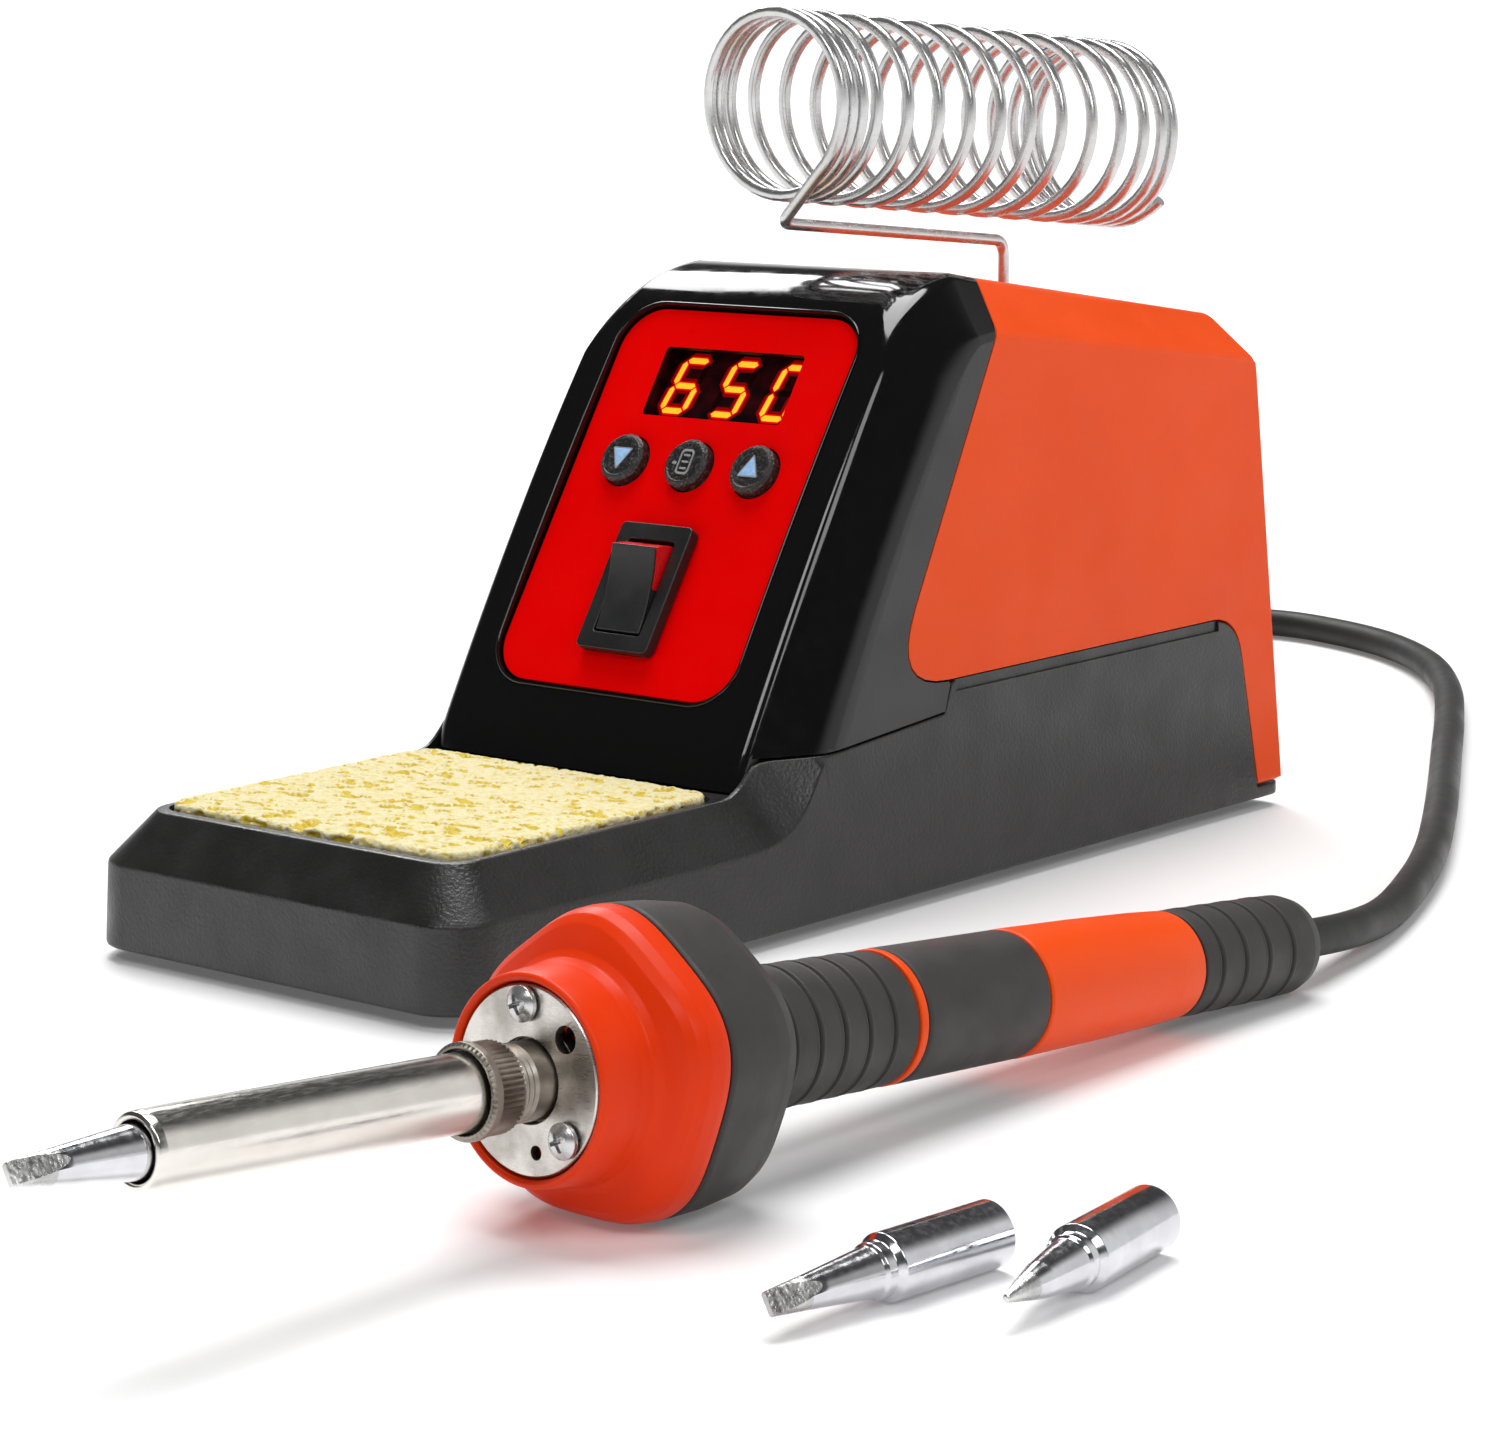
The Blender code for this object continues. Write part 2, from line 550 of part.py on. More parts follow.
def make_cover():
    cover = bevel(envelope("front_cover", mat=GLOSS), 1.1, 24)
    inner = envelope("cut_cover_inside", WALL, cutter=True)
    fillet_steps = 7
    edge = offset(filleted(HOUSING_LINE, fillet_steps), -GAP)
    # the housing's outline from the top down to the fender: three corners, then the fillet's points
    facing = edge[:4 + fillet_steps]
    region = [(50.0, 110.0), (50.0, 21.8), (69.6, 21.8), (69.6, SHOULDER_Z + 0.3),
              (SHOULDER_Y, SHOULDER_Z + 0.3), (SEAM_REAR_Y, SEAM_REAR_Z + 0.3), (107.0, FENDER_Z - 0.4)]
    region += list(reversed(facing)) + [(135.2, 110.0)]
    boolean(cover, prism("cut_cover_region", region, SIDEWAYS, -50, 50, cutter=True), "INTERSECT")
    boolean(cover, inner)
    for side in (-1, 1):
        x0, x1 = sorted((side * 31.1, side * 45.0))
        boolean(cover, box(f"cut_cover_toe_{side}", (x0, 50.0, 0.0), (x1, 76.0, SHOULDER_Z + 0.35),
                           cutter=True))
    pocket = prism("cut_label_pocket", rounded(LABEL_W + 2.6, LABEL_H + 2.6, LABEL_H / 2, LABEL_R + 1.3),
                   LABEL, -1.2, 8.0, cutter=True)
    window = prism("cut_cover_window", rounded(MODULE[0] + 0.6, MODULE[1] + 0.6, MODULE[2], 0.8, 2),
                   LABEL, -12, 3,
                   cutter=True)
    opening = prism("cut_cover_switch", rounded(13.4, 19.4, SWITCH_V, 0.8, 2), LABEL, -14, 3,
                    cutter=True)
    for cutter in (pocket, window, opening):
        boolean(cover, cutter)
    for k in (-1, 0, 1):
        boolean(cover, turned(f"cut_cover_button_{k}", [(-12, 0), (-12, 5.3), (3, 5.3), (3, 0)],
                              LABEL @ Matrix.Translation((k * BUTTON_PITCH, BUTTON_V, 0)), 20, cutter=True))
    return cover


make_cover()

label = prism("label_panel", rounded(LABEL_W, LABEL_H, LABEL_H / 2, LABEL_R), LABEL, -0.9, 0.0, RED)
boolean(label, prism("cut_label_window", rounded(WINDOW[0], WINDOW[1], WINDOW[2], 0.6, 2), LABEL,
                     -4, 4, cutter=True))
boolean(label, prism("cut_label_switch", rounded(13.4, 19.4, SWITCH_V, 0.8, 2), LABEL, -4, 4,
                     cutter=True))
for k in (-1, 0, 1):
    boolean(label, turned(f"cut_label_button_{k}", [(-4, 0), (-4, BUTTON_R + 0.3), (4, BUTTON_R + 0.3),
                                                    (4, 0)],
                          LABEL @ Matrix.Translation((k * BUTTON_PITCH, BUTTON_V, 0)), 24, cutter=True))

prism("display_module", rounded(*MODULE, 0.5, 2), LABEL, -9.0, -1.2, LENS)
prism("control_board", rounded(44.0, 31.0, 46.0, 2.0, 3), LABEL, -13.0, -11.4, BOARD)

for name, k in (("down", -1), ("preset", 0), ("up", 1)):
    frame = LABEL @ Matrix.Translation((k * BUTTON_PITCH, BUTTON_V, 0))
    turned(f"button_{name}", [(-10.6, 0), (-10.6, 1.8), (-3.0, 1.8), (-2.6, BUTTON_R),
                              (BUTTON_TOP - 0.55, BUTTON_R), (BUTTON_TOP - 0.15, BUTTON_R - 0.35),
                              (BUTTON_TOP, BUTTON_R - 0.8), (BUTTON_TOP - 0.15, BUTTON_R - 1.2),
                              (BUTTON_TOP - 0.15, 0)], frame, 24, RUBBER)


def make_switch():
    body = prism("switch_body", rounded(SWITCH_W, SWITCH_H, SWITCH_V, 1.0, 3), LABEL, 0.3, 2.2, BLACK)
    bevel(body, 0.45, 50, 2)
    lower = prism("join_switch_case", rounded(12.8, 18.8, SWITCH_V, 0.6, 2), LABEL, -14.0, 1.0,
                  cutter=True)
    boolean(body, lower, "UNION")
    for k in (-1, 1):
        blade = prism(f"join_blade_{k}", rounded(4.8, 0.8, SWITCH_V + 3.6 * k, 0.1, 1), LABEL,
                      -20.0, -13.0, cutter=True)
        boolean(body, blade, "UNION")
    well = prism("cut_switch_well", rounded(WELL_W, WELL_H, SWITCH_V, 0.6, 2), LABEL, -8.5, 6.0,
                 cutter=True)
    boolean(body, well)
    end = [(ROCKER_R * math.cos(a), ROCKER_R * math.sin(a))
           for a in (math.radians(-20.0 + 47.0 * i / 6) for i in range(7))]
    crown = [(6.6, 3.95), (4.2, 3.5), (1.9, 3.3), (-1.9, 3.3), (-4.2, 3.5), (-6.6, 3.95)]
    ring = end + crown + [(-u, w) for u, w in reversed(end)]
    pivot = LABEL @ Matrix.Translation((0, SWITCH_V, PIVOT_H)) @ Matrix.Rotation(ROCKER_TILT, 4, "X")
    prism("switch_rocker", ring, pivot @ SIDEWAYS, -ROCKER_W / 2, ROCKER_W / 2, BLACK)


make_switch()

# ---- inside and behind the station ---------------------------------------------------------------
core = box("transformer_core", (-22.0, 147.0, 4.4), (22.0, 171.0, 42.4), STEEL)
for side in (-1, 1):
    x0, x1 = sorted((side * 7.5, side * 15.0))
    boolean(core, box(f"cut_core_{side}", (x0, 140, 11.4), (x1, 180, 35.4), cutter=True))
coil = box("transformer_winding", (-14.6, 141.5, 11.8), (14.6, 176.5, 35.0), COPPER, radius=2.5)
boolean(coil, box("cut_winding", (-7.9, 146.6, 5), (7.9, 171.4, 40), cutter=True))

REARWARD = Matrix.Rotation(-math.pi / 2, 4, "X")
GLAND_Y = rear_y(24.0)
mains_at = Matrix.Translation((18.0, GLAND_Y, 24.0)) @ REARWARD
turned("mains_gland", [(-5.4, 3.1), (-5.4, 6.4), (-3.6, 6.4), (-3.6, 4.9), (0.6, 4.9), (0.6, 6.6),
                       (2.6, 6.2), (2.6, 3.1)], mains_at, 24, RUBBER)
gland_at = Matrix.Translation((-14.0, GLAND_Y, 24.0)) @ REARWARD
turned("iron_cord_gland", [(-5.4, 3.1), (-5.4, 6.4), (-3.6, 6.4), (-3.6, 4.9), (0.6, 4.9), (0.6, 6.6),
                           (2.4, 6.2), (3.2, 4.8), (10.6, 3.9), (10.6, 3.1)], gland_at, 24, RUBBER)

turned("holder_socket", [(73.0, 0), (73.0, 1.3), (86.2, 1.3), (86.4, 1.6), (86.4, 2.6), (86.1, 2.9),
                         (70.0, 2.9), (70.0, 0)], Matrix.Translation((0, POST_Y, 0)), 20, ZINC)

box("sponge", (-30.1, 8.6, 13.8), (30.1, 62.0, 22.6), SPONGE, radius=4.2)


# ---- coil rest -----------------------------------------------------------------------------------
def coil_path():
    per_turn = 12
    leave = math.radians(-47.0)
    turns = len(COIL_TURNS) - 1
    found = []
    for i in range(turns * per_turn, -1, -1):
        t = i / per_turn
        k = min(int(t), turns - 1)
        y = COIL_TURNS[k] + (COIL_TURNS[k + 1] - COIL_TURNS[k]) * (t - k)
        radius = COIL_R_FRONT + (COIL_R_REAR - COIL_R_FRONT) * t / turns
        a = leave + 2 * math.pi * t
        z = COIL_Z0 + COIL_SLOPE * (y - COIL_TURNS[0])
        found.append(Vector((radius * math.cos(a), y, z + radius * math.sin(a))))
    bend = Vector((0.0, 112.6, 100.0))
    corner = Vector((0.0, POST_Y, 93.9))
    foot = Vector((0.0, POST_Y, 74.0))
    for at, start, end, radius in ((bend, found[-1], corner, 2.4), (corner, bend, foot, 2.6)):
        a, b = (start - at).normalized(), (end - at).normalized()
        half = a.angle(b) / 2
        centre = at + (a + b).normalized() * (radius / math.sin(half))
        reach = radius / math.tan(half)
        v0, v1 = at + a * reach - centre, at + b * reach - centre
        sweep = v0.angle(v1)
        for i in range(6):
            t = i / 5
            found.append(centre + (v0 * math.sin((1 - t) * sweep) + v1 * math.sin(t * sweep))
                         / math.sin(sweep))
    found.append(foot)
    return found


wire("holder_coil", coil_path(), WIRE_R, ZINC, (0.0, POST_Y, 86.0))


# ---- iron ----------------------------------------------------------------------------------------
def axis_frame(at, yaw, pitch):
    """A frame whose Z axis points from at towards the tip: yaw from -Y, pitch above level."""
    z = Vector((math.sin(yaw) * math.cos(pitch), -math.cos(yaw) * math.cos(pitch), math.sin(pitch)))
    x = Vector((0, 0, 1)).cross(z).normalized()
    y = z.cross(x)
    frame = Matrix((x, y, z)).transposed().to_4x4()
    return Matrix.Translation(at) @ frame


IRON = axis_frame(IRON_AT, IRON_YAW, IRON_PITCH)


def five_sided(angle, along, radius):
    """Rounded five-sided outline, flat side down, for the guard that keeps the iron from rolling."""
    share = min(1.0, max(0.0, (radius - 13.5) / 3.0))
    return radius * (1.0 + 0.035 * share * math.cos(5 * (angle + math.radians(54.0))))


def grooved(start, end, r_start, r_end, grooves, depth=0.8, half=0.8):
    found = []
    for s in grooves:
        r = r_start + (r_end - r_start) * (s - start) / (end - start)
        found += [(s + half, r), (s, r - depth), (s - half, r)]
    return found


def chisel(tip, name, frame, end):
    """Grinds the two flats of the chisel; end is the tip's end along the frame."""
    for sign in (-1, 1):
        flat = [(end + 1.0, sign * 0.25), (end - 7.5, sign * 1.75), (end - 7.5, sign * 6.0),
                (end + 1.0, sign * 6.0)]
        across = frame @ Matrix.Rotation(-math.pi / 2, 4, "Y")
        boolean(tip, prism(f"cut_{name}_{sign}", flat, across, -8, 8, cutter=True))
    return tip


turned("barrel", [(56.2, 3.3), (56.4, 3.7), (56.1, 4.1), (55.2, 4.25), (7.1, 4.5), (7.1, 4.1),
                  (54.6, 3.95), (55.3, 3.3)], IRON, 32, STEEL)
tip = turned("tip", [(TIP_END, 0), (TIP_END, 1.25), (TIP_END - 6.9, 2.05), (57.0, 2.95), (55.0, 3.0),
                     (54.6, 3.0), (54.2, 3.6), (36.0, 3.6), (36.0, 2.65), (52.0, 2.65), (53.0, 0)],
             IRON, 24, TIP_PLATE)
chisel(tip, "tip", IRON, TIP_END)
turned("heater", [(51.4, 0), (51.4, 1.9), (51.0, 2.3), (-12.0, 2.3), (-12.0, 0)], IRON, 20, NUT_STEEL)


def knurled(angle, along, radius):
    """Straight knurling: every second line of the nut's waist lies lower."""
    line = round(angle / (2 * math.pi) * 48)
    return radius - (0.28 if line % 2 and 5.2 < radius < 5.4 else 0.0)


shaped_ring("barrel_nut", [(10.3, 4.85), (10.3, 5.1), (9.9, 5.5), (9.0, 5.5), (8.8, 5.3), (5.1, 5.3),
                           (5.1, 4.85)], IRON, 48, knurled, NUT_STEEL)
turned("thread_collar", [(6.8, 3.0), (6.8, 4.4), (4.8, 4.55), (4.4, 4.25), (4.0, 4.55), (3.6, 4.25),
                         (3.2, 4.55), (2.8, 4.25), (2.4, 4.55), (-1.5, 4.55), (-1.5, 6.4),
                         (-3.2, 6.4), (-3.2, 3.0)], IRON, 24, NUT_STEEL)
flange = turned("flange_plate", [(0.0, 4.9), (0.0, 10.7), (-0.2, 10.9), (-1.2, 10.9), (-1.2, 4.9)],
                IRON, 24, STEEL)
SCREW_AT = {"top": (8.7, 94.0), "side": (8.6, -41.0)}
HOLE_AT = ((7.9, 40.0, 1.15), (8.1, -77.0, 0.7), (8.6, 224.0, 1.0))


def around(radius, degrees):
    a = math.radians(degrees)
    return IRON @ Matrix.Translation((radius * math.cos(a), radius * math.sin(a), 0))


for k, (radius, degrees, hole_r) in enumerate(HOLE_AT):
    boolean(flange, turned(f"cut_flange_hole_{k}", [(-3, 0), (-3, hole_r), (3, hole_r), (3, 0)],
                           around(radius, degrees), 16, cutter=True))
nose = shaped_ring("nose_flange", [(-1.6, 6.9), (-1.6, 11.2), (0.2, 11.3), (0.5, 11.7), (0.2, 12.2),
                              (-3.0, 12.5), (-6.2, 13.1), (-7.8, 14.3), (-8.8, 16.0), (-9.7, 17.2),
                              (-10.8, 17.85), (-13.9, 18.1), (-13.9, 6.9)], IRON, 30, five_sided, ORANGE)
for name, (radius, degrees) in SCREW_AT.items():
    frame = around(radius, degrees)
    boolean(flange, turned(f"cut_flange_{name}", [(-3, 0), (-3, 1.35), (3, 1.35), (3, 0)], frame, 16,
                           cutter=True))
    boolean(nose, turned(f"cut_nose_{name}", [(-8.5, 0), (-8.5, 1.35), (-1, 1.35), (-1, 0)], frame, 16,
                         cutter=True))
    screw = turned(f"flange_screw_{name}", [(1.5, 0), (1.5, 0.9), (1.2, 1.6), (0.3, 2.05), (0.3, 1.0),
                                            (-7.6, 1.0), (-8.1, 0)], frame, 20, ZINC)
    for turn in (0, math.pi / 2):
        slot = frame @ Matrix.Rotation(turn + 0.4, 4, "Z")
        bar = prism(f"cut_cross_{name}_{round(turn)}", rounded(2.2, 0.5, 0.0, 0.1, 1), slot, 0.7, 3.0,
                    cutter=True)
        boolean(screw, bar)

shaped_ring("guard", [(-14.2, 6.9), (-14.2, 17.8), (-15.0, 18.1), (-19.5, 17.75), (-24.5, 17.1),
                 (-26.6, 16.3), (-27.9, 14.9), (-28.5, 12.5), (-28.5, 6.9)], IRON, 30, five_sided, RUBBER)
turned("grip_front", [(-28.8, 6.9), (-28.8, 9.6), (-30.0, 8.9),
                      *grooved(-30.0, -58.6, 8.75, 8.35, (-35.6, -40.2, -44.7, -49.2, -53.9)),
                      (-58.2, 8.35), (-58.6, 8.1), (-58.6, 6.9)], IRON, 20, RUBBER)
turned("grip_mid", [(-60.5, 6.9), (-60.5, 8.2), (-60.9, 8.45), (-84.0, 8.25), (-84.4, 8.05),
                    (-84.4, 6.9)], IRON, 24, RUBBER)
turned("handle_core", [(-3.6, 0), (-3.6, 6.0), (-4.0, 6.5), (-58.9, 6.5), (-58.9, 8.45), (-60.2, 8.45),
                       (-60.2, 6.5), (-84.7, 6.5), (-84.7, 8.1), (-85.1, 8.3), (-100.0, 8.0),
                       (-112.0, 7.6), (-118.4, 7.25), (-118.8, 7.0), (-118.8, 4.9), (-146.0, 4.9),
                       (-146.0, 3.1), (-130.0, 3.1), (-130.0, 0)], IRON, 24, ORANGE)
bore = turned("cut_core_front", [(-13.0, 0), (-13.0, 2.7), (-2.0, 2.7), (-2.0, 0)], IRON, 20,
              cutter=True)
boolean(bpy.data.objects["handle_core"], bore)
turned("strain_relief", [(-119.1, 5.2), (-119.1, 7.2),
                         *grooved(-119.4, -146.0, 7.2, 6.9, (-122.2, -127.9, -133.3, -139.0)),
                         (-144.2, 6.85), (-146.2, 6.3), (-147.6, 5.2), (-148.3, 4.0), (-148.3, 3.1),
                         (-146.3, 3.1), (-146.3, 5.2)], IRON, 20, RUBBER)


# ---- iron cord -----------------------------------------------------------------------------------
CORD_REST = CORD_R + 0.3
cord_start = gland_at @ Vector((0, 0, 3.5))
cord_exit = gland_at @ Vector((0, 0, 12.0))
tail_in = IRON @ Vector((0, 0, -143.5))
tail_out = IRON @ Vector((0, 0, -150.0))
CORD_ROUTE = [cord_start, cord_exit, (-15.5, 222.0, 20.5), (-22.0, 240.0, 12.0), (-34.0, 259.0, 5.2),
              (-51.0, 277.0, CORD_REST), (-68.0, 294.0, CORD_REST), (-77.0, 311.0, CORD_REST),
              (-73.0, 327.0, CORD_REST), (-57.7, 334.0, CORD_REST), (-40.0, 331.0, CORD_REST),
              (-22.0, 322.5, CORD_REST), (-4.5, 308.0, CORD_REST), (11.9, 287.6, CORD_REST),
              (28.0, 262.5, CORD_REST), (43.0, 237.5, CORD_REST), (58.0, 212.5, CORD_REST),
              (73.0, 187.0, CORD_REST), (85.5, 164.5, CORD_REST), (95.0, 144.5, CORD_REST),
              (102.5, 125.5, 3.1), (107.0, 109.5, 4.4), tail_out, tail_in]
wire("iron_cord", smooth_path(CORD_ROUTE, 12.0), CORD_R, CORD)


# ---- spare tips ----------------------------------------------------------------------------------
def spare_tip(name, at, yaw, length, point_r):
    frame = axis_frame(Vector(at), yaw, 0.0)
    back, neck = -length, -length + 17.6
    found = turned(name, [(0.0, 0), (0.0, point_r), (-0.3, point_r + 0.15), (-7.2, 2.05),
                          (neck + 1.6, 2.85), (neck + 1.2, 3.15), (neck, 3.15),
                          (neck - 0.7, 3.85), (back + 0.3, 3.85), (back, 3.6), (back, 2.65),
                          (neck - 3.0, 2.65), (neck - 4.0, 0)], frame, 24, TIP_PLATE)
    return found, frame


chisel_tip, chisel_frame = spare_tip("spare_tip_chisel", (150.3, -66.4, 3.9), math.radians(-5.3), 33.9, 1.25)
chisel(chisel_tip, "spare", chisel_frame, 0.0)
spare_tip("spare_tip_conical", (168.5, -49.6, 3.9), math.radians(8.5), 32.6, 0.35)
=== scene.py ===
"""Looks of the soldering station: camera, light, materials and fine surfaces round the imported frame.

Pieces are modelled in the bench frame in millimetres: X from the station's centre line, Y from
the front edge of its base, Z up from the bench.
"""

import json
from math import atan2, cos, hypot, pi, radians, sin, tan

import bmesh
import bpy
from mathutils import Matrix, Vector, noise


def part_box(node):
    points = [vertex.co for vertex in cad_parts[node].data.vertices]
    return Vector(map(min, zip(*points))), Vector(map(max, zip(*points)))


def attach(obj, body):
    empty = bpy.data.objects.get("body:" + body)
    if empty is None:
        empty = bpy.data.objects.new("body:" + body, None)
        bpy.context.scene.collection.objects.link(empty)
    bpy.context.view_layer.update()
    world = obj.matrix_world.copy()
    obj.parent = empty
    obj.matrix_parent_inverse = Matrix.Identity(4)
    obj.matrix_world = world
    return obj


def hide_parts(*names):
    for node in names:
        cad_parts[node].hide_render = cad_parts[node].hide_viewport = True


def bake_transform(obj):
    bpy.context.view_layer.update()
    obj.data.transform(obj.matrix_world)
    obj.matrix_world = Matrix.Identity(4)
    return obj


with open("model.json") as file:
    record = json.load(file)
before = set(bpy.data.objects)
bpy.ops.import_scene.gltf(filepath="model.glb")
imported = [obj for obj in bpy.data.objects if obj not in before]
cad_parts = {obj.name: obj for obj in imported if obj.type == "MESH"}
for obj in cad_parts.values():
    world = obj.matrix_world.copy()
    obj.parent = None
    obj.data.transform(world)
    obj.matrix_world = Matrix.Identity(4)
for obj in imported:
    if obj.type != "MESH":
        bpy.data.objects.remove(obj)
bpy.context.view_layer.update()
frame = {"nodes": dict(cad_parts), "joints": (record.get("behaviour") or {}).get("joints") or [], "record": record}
scene = bpy.context.scene
joints = {joint["name"]: joint for joint in frame["joints"]}

MM = 0.001
base_low, base_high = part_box("base_shell")
BENCH = Matrix.Translation(((base_low.x + base_high.x) / 2, base_low.y, 0)) @ Matrix.Scale(MM, 4)


def to_bench(point):
    return BENCH.inverted() @ Vector(point)


def add_object(name, data):
    obj = bpy.data.objects.new(name, data)
    scene.collection.objects.link(obj)
    return obj


def node_box(node):
    """The low and high corners of a node's box in the bench frame, and its middle."""
    low, high = (to_bench(corner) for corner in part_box(node))
    return low, high, (low + high) / 2


# ---- camera ----
CAMERA_AT = Vector((425.2, -380.5, 142.9))
AZIMUTH, ELEVATION, ROLL = radians(41.31), radians(10.46), radians(-0.88)
LENS, SENSOR = 100.9, 36


def make_camera():
    data = bpy.data.cameras.new("camera")
    data.lens, data.sensor_width = LENS, SENSOR
    data.clip_start, data.clip_end = 0.01, 60
    camera = add_object("camera", data)
    back = Vector((sin(AZIMUTH) * cos(ELEVATION), -cos(AZIMUTH) * cos(ELEVATION), sin(ELEVATION)))
    turn = back.to_track_quat("Z", "Y").to_matrix().to_4x4() @ Matrix.Rotation(ROLL, 4, "Z")
    camera.matrix_world = Matrix.Translation(BENCH @ CAMERA_AT) @ turn
    scene.camera = camera


make_camera()


# ---- materials ----
FINISH = {}


def add_node(tree, kind, links=(), **values):
    """A new node with its settings, and its inputs linked to sockets or given values."""
    made = tree.nodes.new(kind)
    for key, value in values.items():
        setattr(made, key, value)
    for socket, source in dict(links).items():
        if isinstance(source, bpy.types.NodeSocket):
            tree.links.new(source, made.inputs[socket])
        else:
            made.inputs[socket].default_value = source
    return made


class Finish:
    """A Principled material, kept in FINISH, with helpers for the procedural textures on it. A
    texture is a socket, or a noise given as its size in mm, detail and stretch."""

    def __init__(self, name, colour, rough, metallic=0, specular=0.5, **inputs):
        self.material = FINISH[name] = bpy.data.materials.new(name)
        self.material.use_nodes = True
        self.tree = self.material.node_tree
        self.shader = self.tree.nodes["Principled BSDF"]
        self.normal = None
        plain = {"Base Color": (*colour, 1), "Roughness": rough, "Metallic": metallic,
            "Specular IOR Level": specular}
        for key, value in (plain | inputs).items():
            self.shader.inputs[key.replace("_", " ")].default_value = value

    def node(self, kind, links=(), **values):
        return add_node(self.tree, kind, links, **values)

    def place(self, stretch=(1, 1, 1)):
        coords = self.node("ShaderNodeTexCoord").outputs["Object"]
        return self.node("ShaderNodeMapping", {"Vector": coords, "Scale": stretch}).outputs["Vector"]

    def noise(self, size_mm, detail=2, stretch=(1, 1, 1)):
        links = {"Vector": self.place(stretch), "Scale": 1000 / size_mm, "Detail": detail}
        return self.node("ShaderNodeTexNoise", links).outputs["Fac"]

    def cells(self, size_mm, stretch=(1, 1, 1)):
        links = {"Vector": self.place(stretch), "Scale": 1000 / size_mm}
        return self.node("ShaderNodeTexVoronoi", links).outputs["Distance"]

    def texture(self, source):
        return self.noise(*source) if isinstance(source, tuple) else source

    def ramp(self, source, low, high, start, end):
        """Maps a texture's values from start to end onto low to high."""
        links = {"Value": source, "From Min": start, "From Max": end, "To Min": low, "To Max": high}
        return self.node("ShaderNodeMapRange", links).outputs["Result"]

    def vary(self, socket, source, low, high, start=0.35, end=0.65):
        source = self.texture(source)
        self.tree.links.new(self.ramp(source, low, high, start, end), self.shader.inputs[socket])
        return self

    def tint(self, source, one, two, start=0.35, end=0.65):
        source = self.texture(source)
        mix = self.node("ShaderNodeMix", {"Factor": self.ramp(source, 0, 1, start, end)}, data_type="RGBA")
        mix.inputs[6].default_value = (*one, 1)
        mix.inputs[7].default_value = (*two, 1)
        self.tree.links.new(mix.outputs[2], self.shader.inputs["Base Color"])
        return self

    def bump(self, source, depth_mm):
        links = {"Height": self.texture(source), "Distance": depth_mm * MM, "Strength": 1}
        if self.normal:
            links["Normal"] = self.normal
        self.normal = self.node("ShaderNodeBump", links).outputs["Normal"]
        self.tree.links.new(self.normal, self.shader.inputs["Normal"])
        return self


def textured_plastic(name, colour, rough, grain_mm, depth_mm, specular=0.5):
    """Moulded ABS with a fine spark-eroded grain."""
    made = Finish(name, colour, rough, specular=specular)
    made.bump((grain_mm, 3), depth_mm).bump((grain_mm * 5, 2), depth_mm * 0.4)
    return made.vary("Roughness", (9, 3), rough - 0.06, rough + 0.08)


def worn_metal(name, colour, dark, rough, scratch=(1, 1, 1), scratch_mm=0.8, depth_mm=0.003, metallic=1):
    made = Finish(name, colour, rough, metallic)
    fine = made.noise(scratch_mm, 4, scratch)
    made.tint((5, 4), colour, dark).vary("Roughness", fine, rough - 0.04, rough + 0.06)
    return made.bump(fine, depth_mm)


def make_plastics():
    textured_plastic("black_abs", (0.012, 0.0117, 0.0113), 0.36, 0.55, 0.09, 0.6)
    textured_plastic("cover_side", (0.020, 0.0195, 0.019), 0.34, 0.4, 0.02)
    textured_plastic("switch_black", (0.011, 0.0115, 0.012), 0.42, 0.35, 0.05)
    textured_plastic("icon_rim", (0.30, 0.30, 0.31), 0.5, 0.3, 0.05)
    textured_plastic("orange_abs", (0.84, 0.074, 0.004), 0.42, 0.6, 0.03, 0.2).tint(
        (30, 3), (0.86, 0.078, 0.005), (0.82, 0.070, 0.003))
    # orange_grip is a darker, redder copy of orange_abs for the iron's nose: painted shade, as the nose sits in
    # shade while the handle, in orange_abs, is lit.
    textured_plastic("orange_grip", (0.74, 0.038, 0.003), 0.36, 0.4, 0.012, 0.15).tint(
        (20, 3), (0.76, 0.041, 0.003), (0.71, 0.035, 0.002))
    Finish("cover_gloss", (0.004, 0.004, 0.0042), 0.08).bump((16, 1), 0.03).vary(
        "Roughness", (3, 5), 0.05, 0.13)
    Finish("red_label", (0.80, 0.0004, 0.0004), 0.45, specular=0.03).tint(
        (25, 2), (0.82, 0.0004, 0.0004), (0.78, 0.0003, 0.0004)).bump((0.25, 2), 0.006).vary(
        "Roughness", (6, 4), 0.36, 0.5)
    Finish("display_window", (0.012, 0.0005, 0.001), 0.5, specular=0.08).tint(
        (2.5, 4), (0.030, 0.0005, 0.002), (0.004, 0.0004, 0.001))
    board = Finish("circuit_board", (0.02, 0.16, 0.05), 0.35)
    board.tint(board.cells(2.2), (0.02, 0.17, 0.05), (0.03, 0.26, 0.09))
    Finish("rocker_black", (0.018, 0.019, 0.020), 0.4).bump((0.3, 2), 0.015).vary(
        "Roughness", (4, 3), 0.32, 0.46)
    Finish("rocker_red", (0.72, 0.006, 0.008), 0.25).vary("Roughness", (3, 3), 0.2, 0.32)
    Finish("icon_blue", (0.33, 0.55, 0.86), 0.5).tint((0.6, 3), (0.38, 0.60, 0.90), (0.28, 0.48, 0.78))


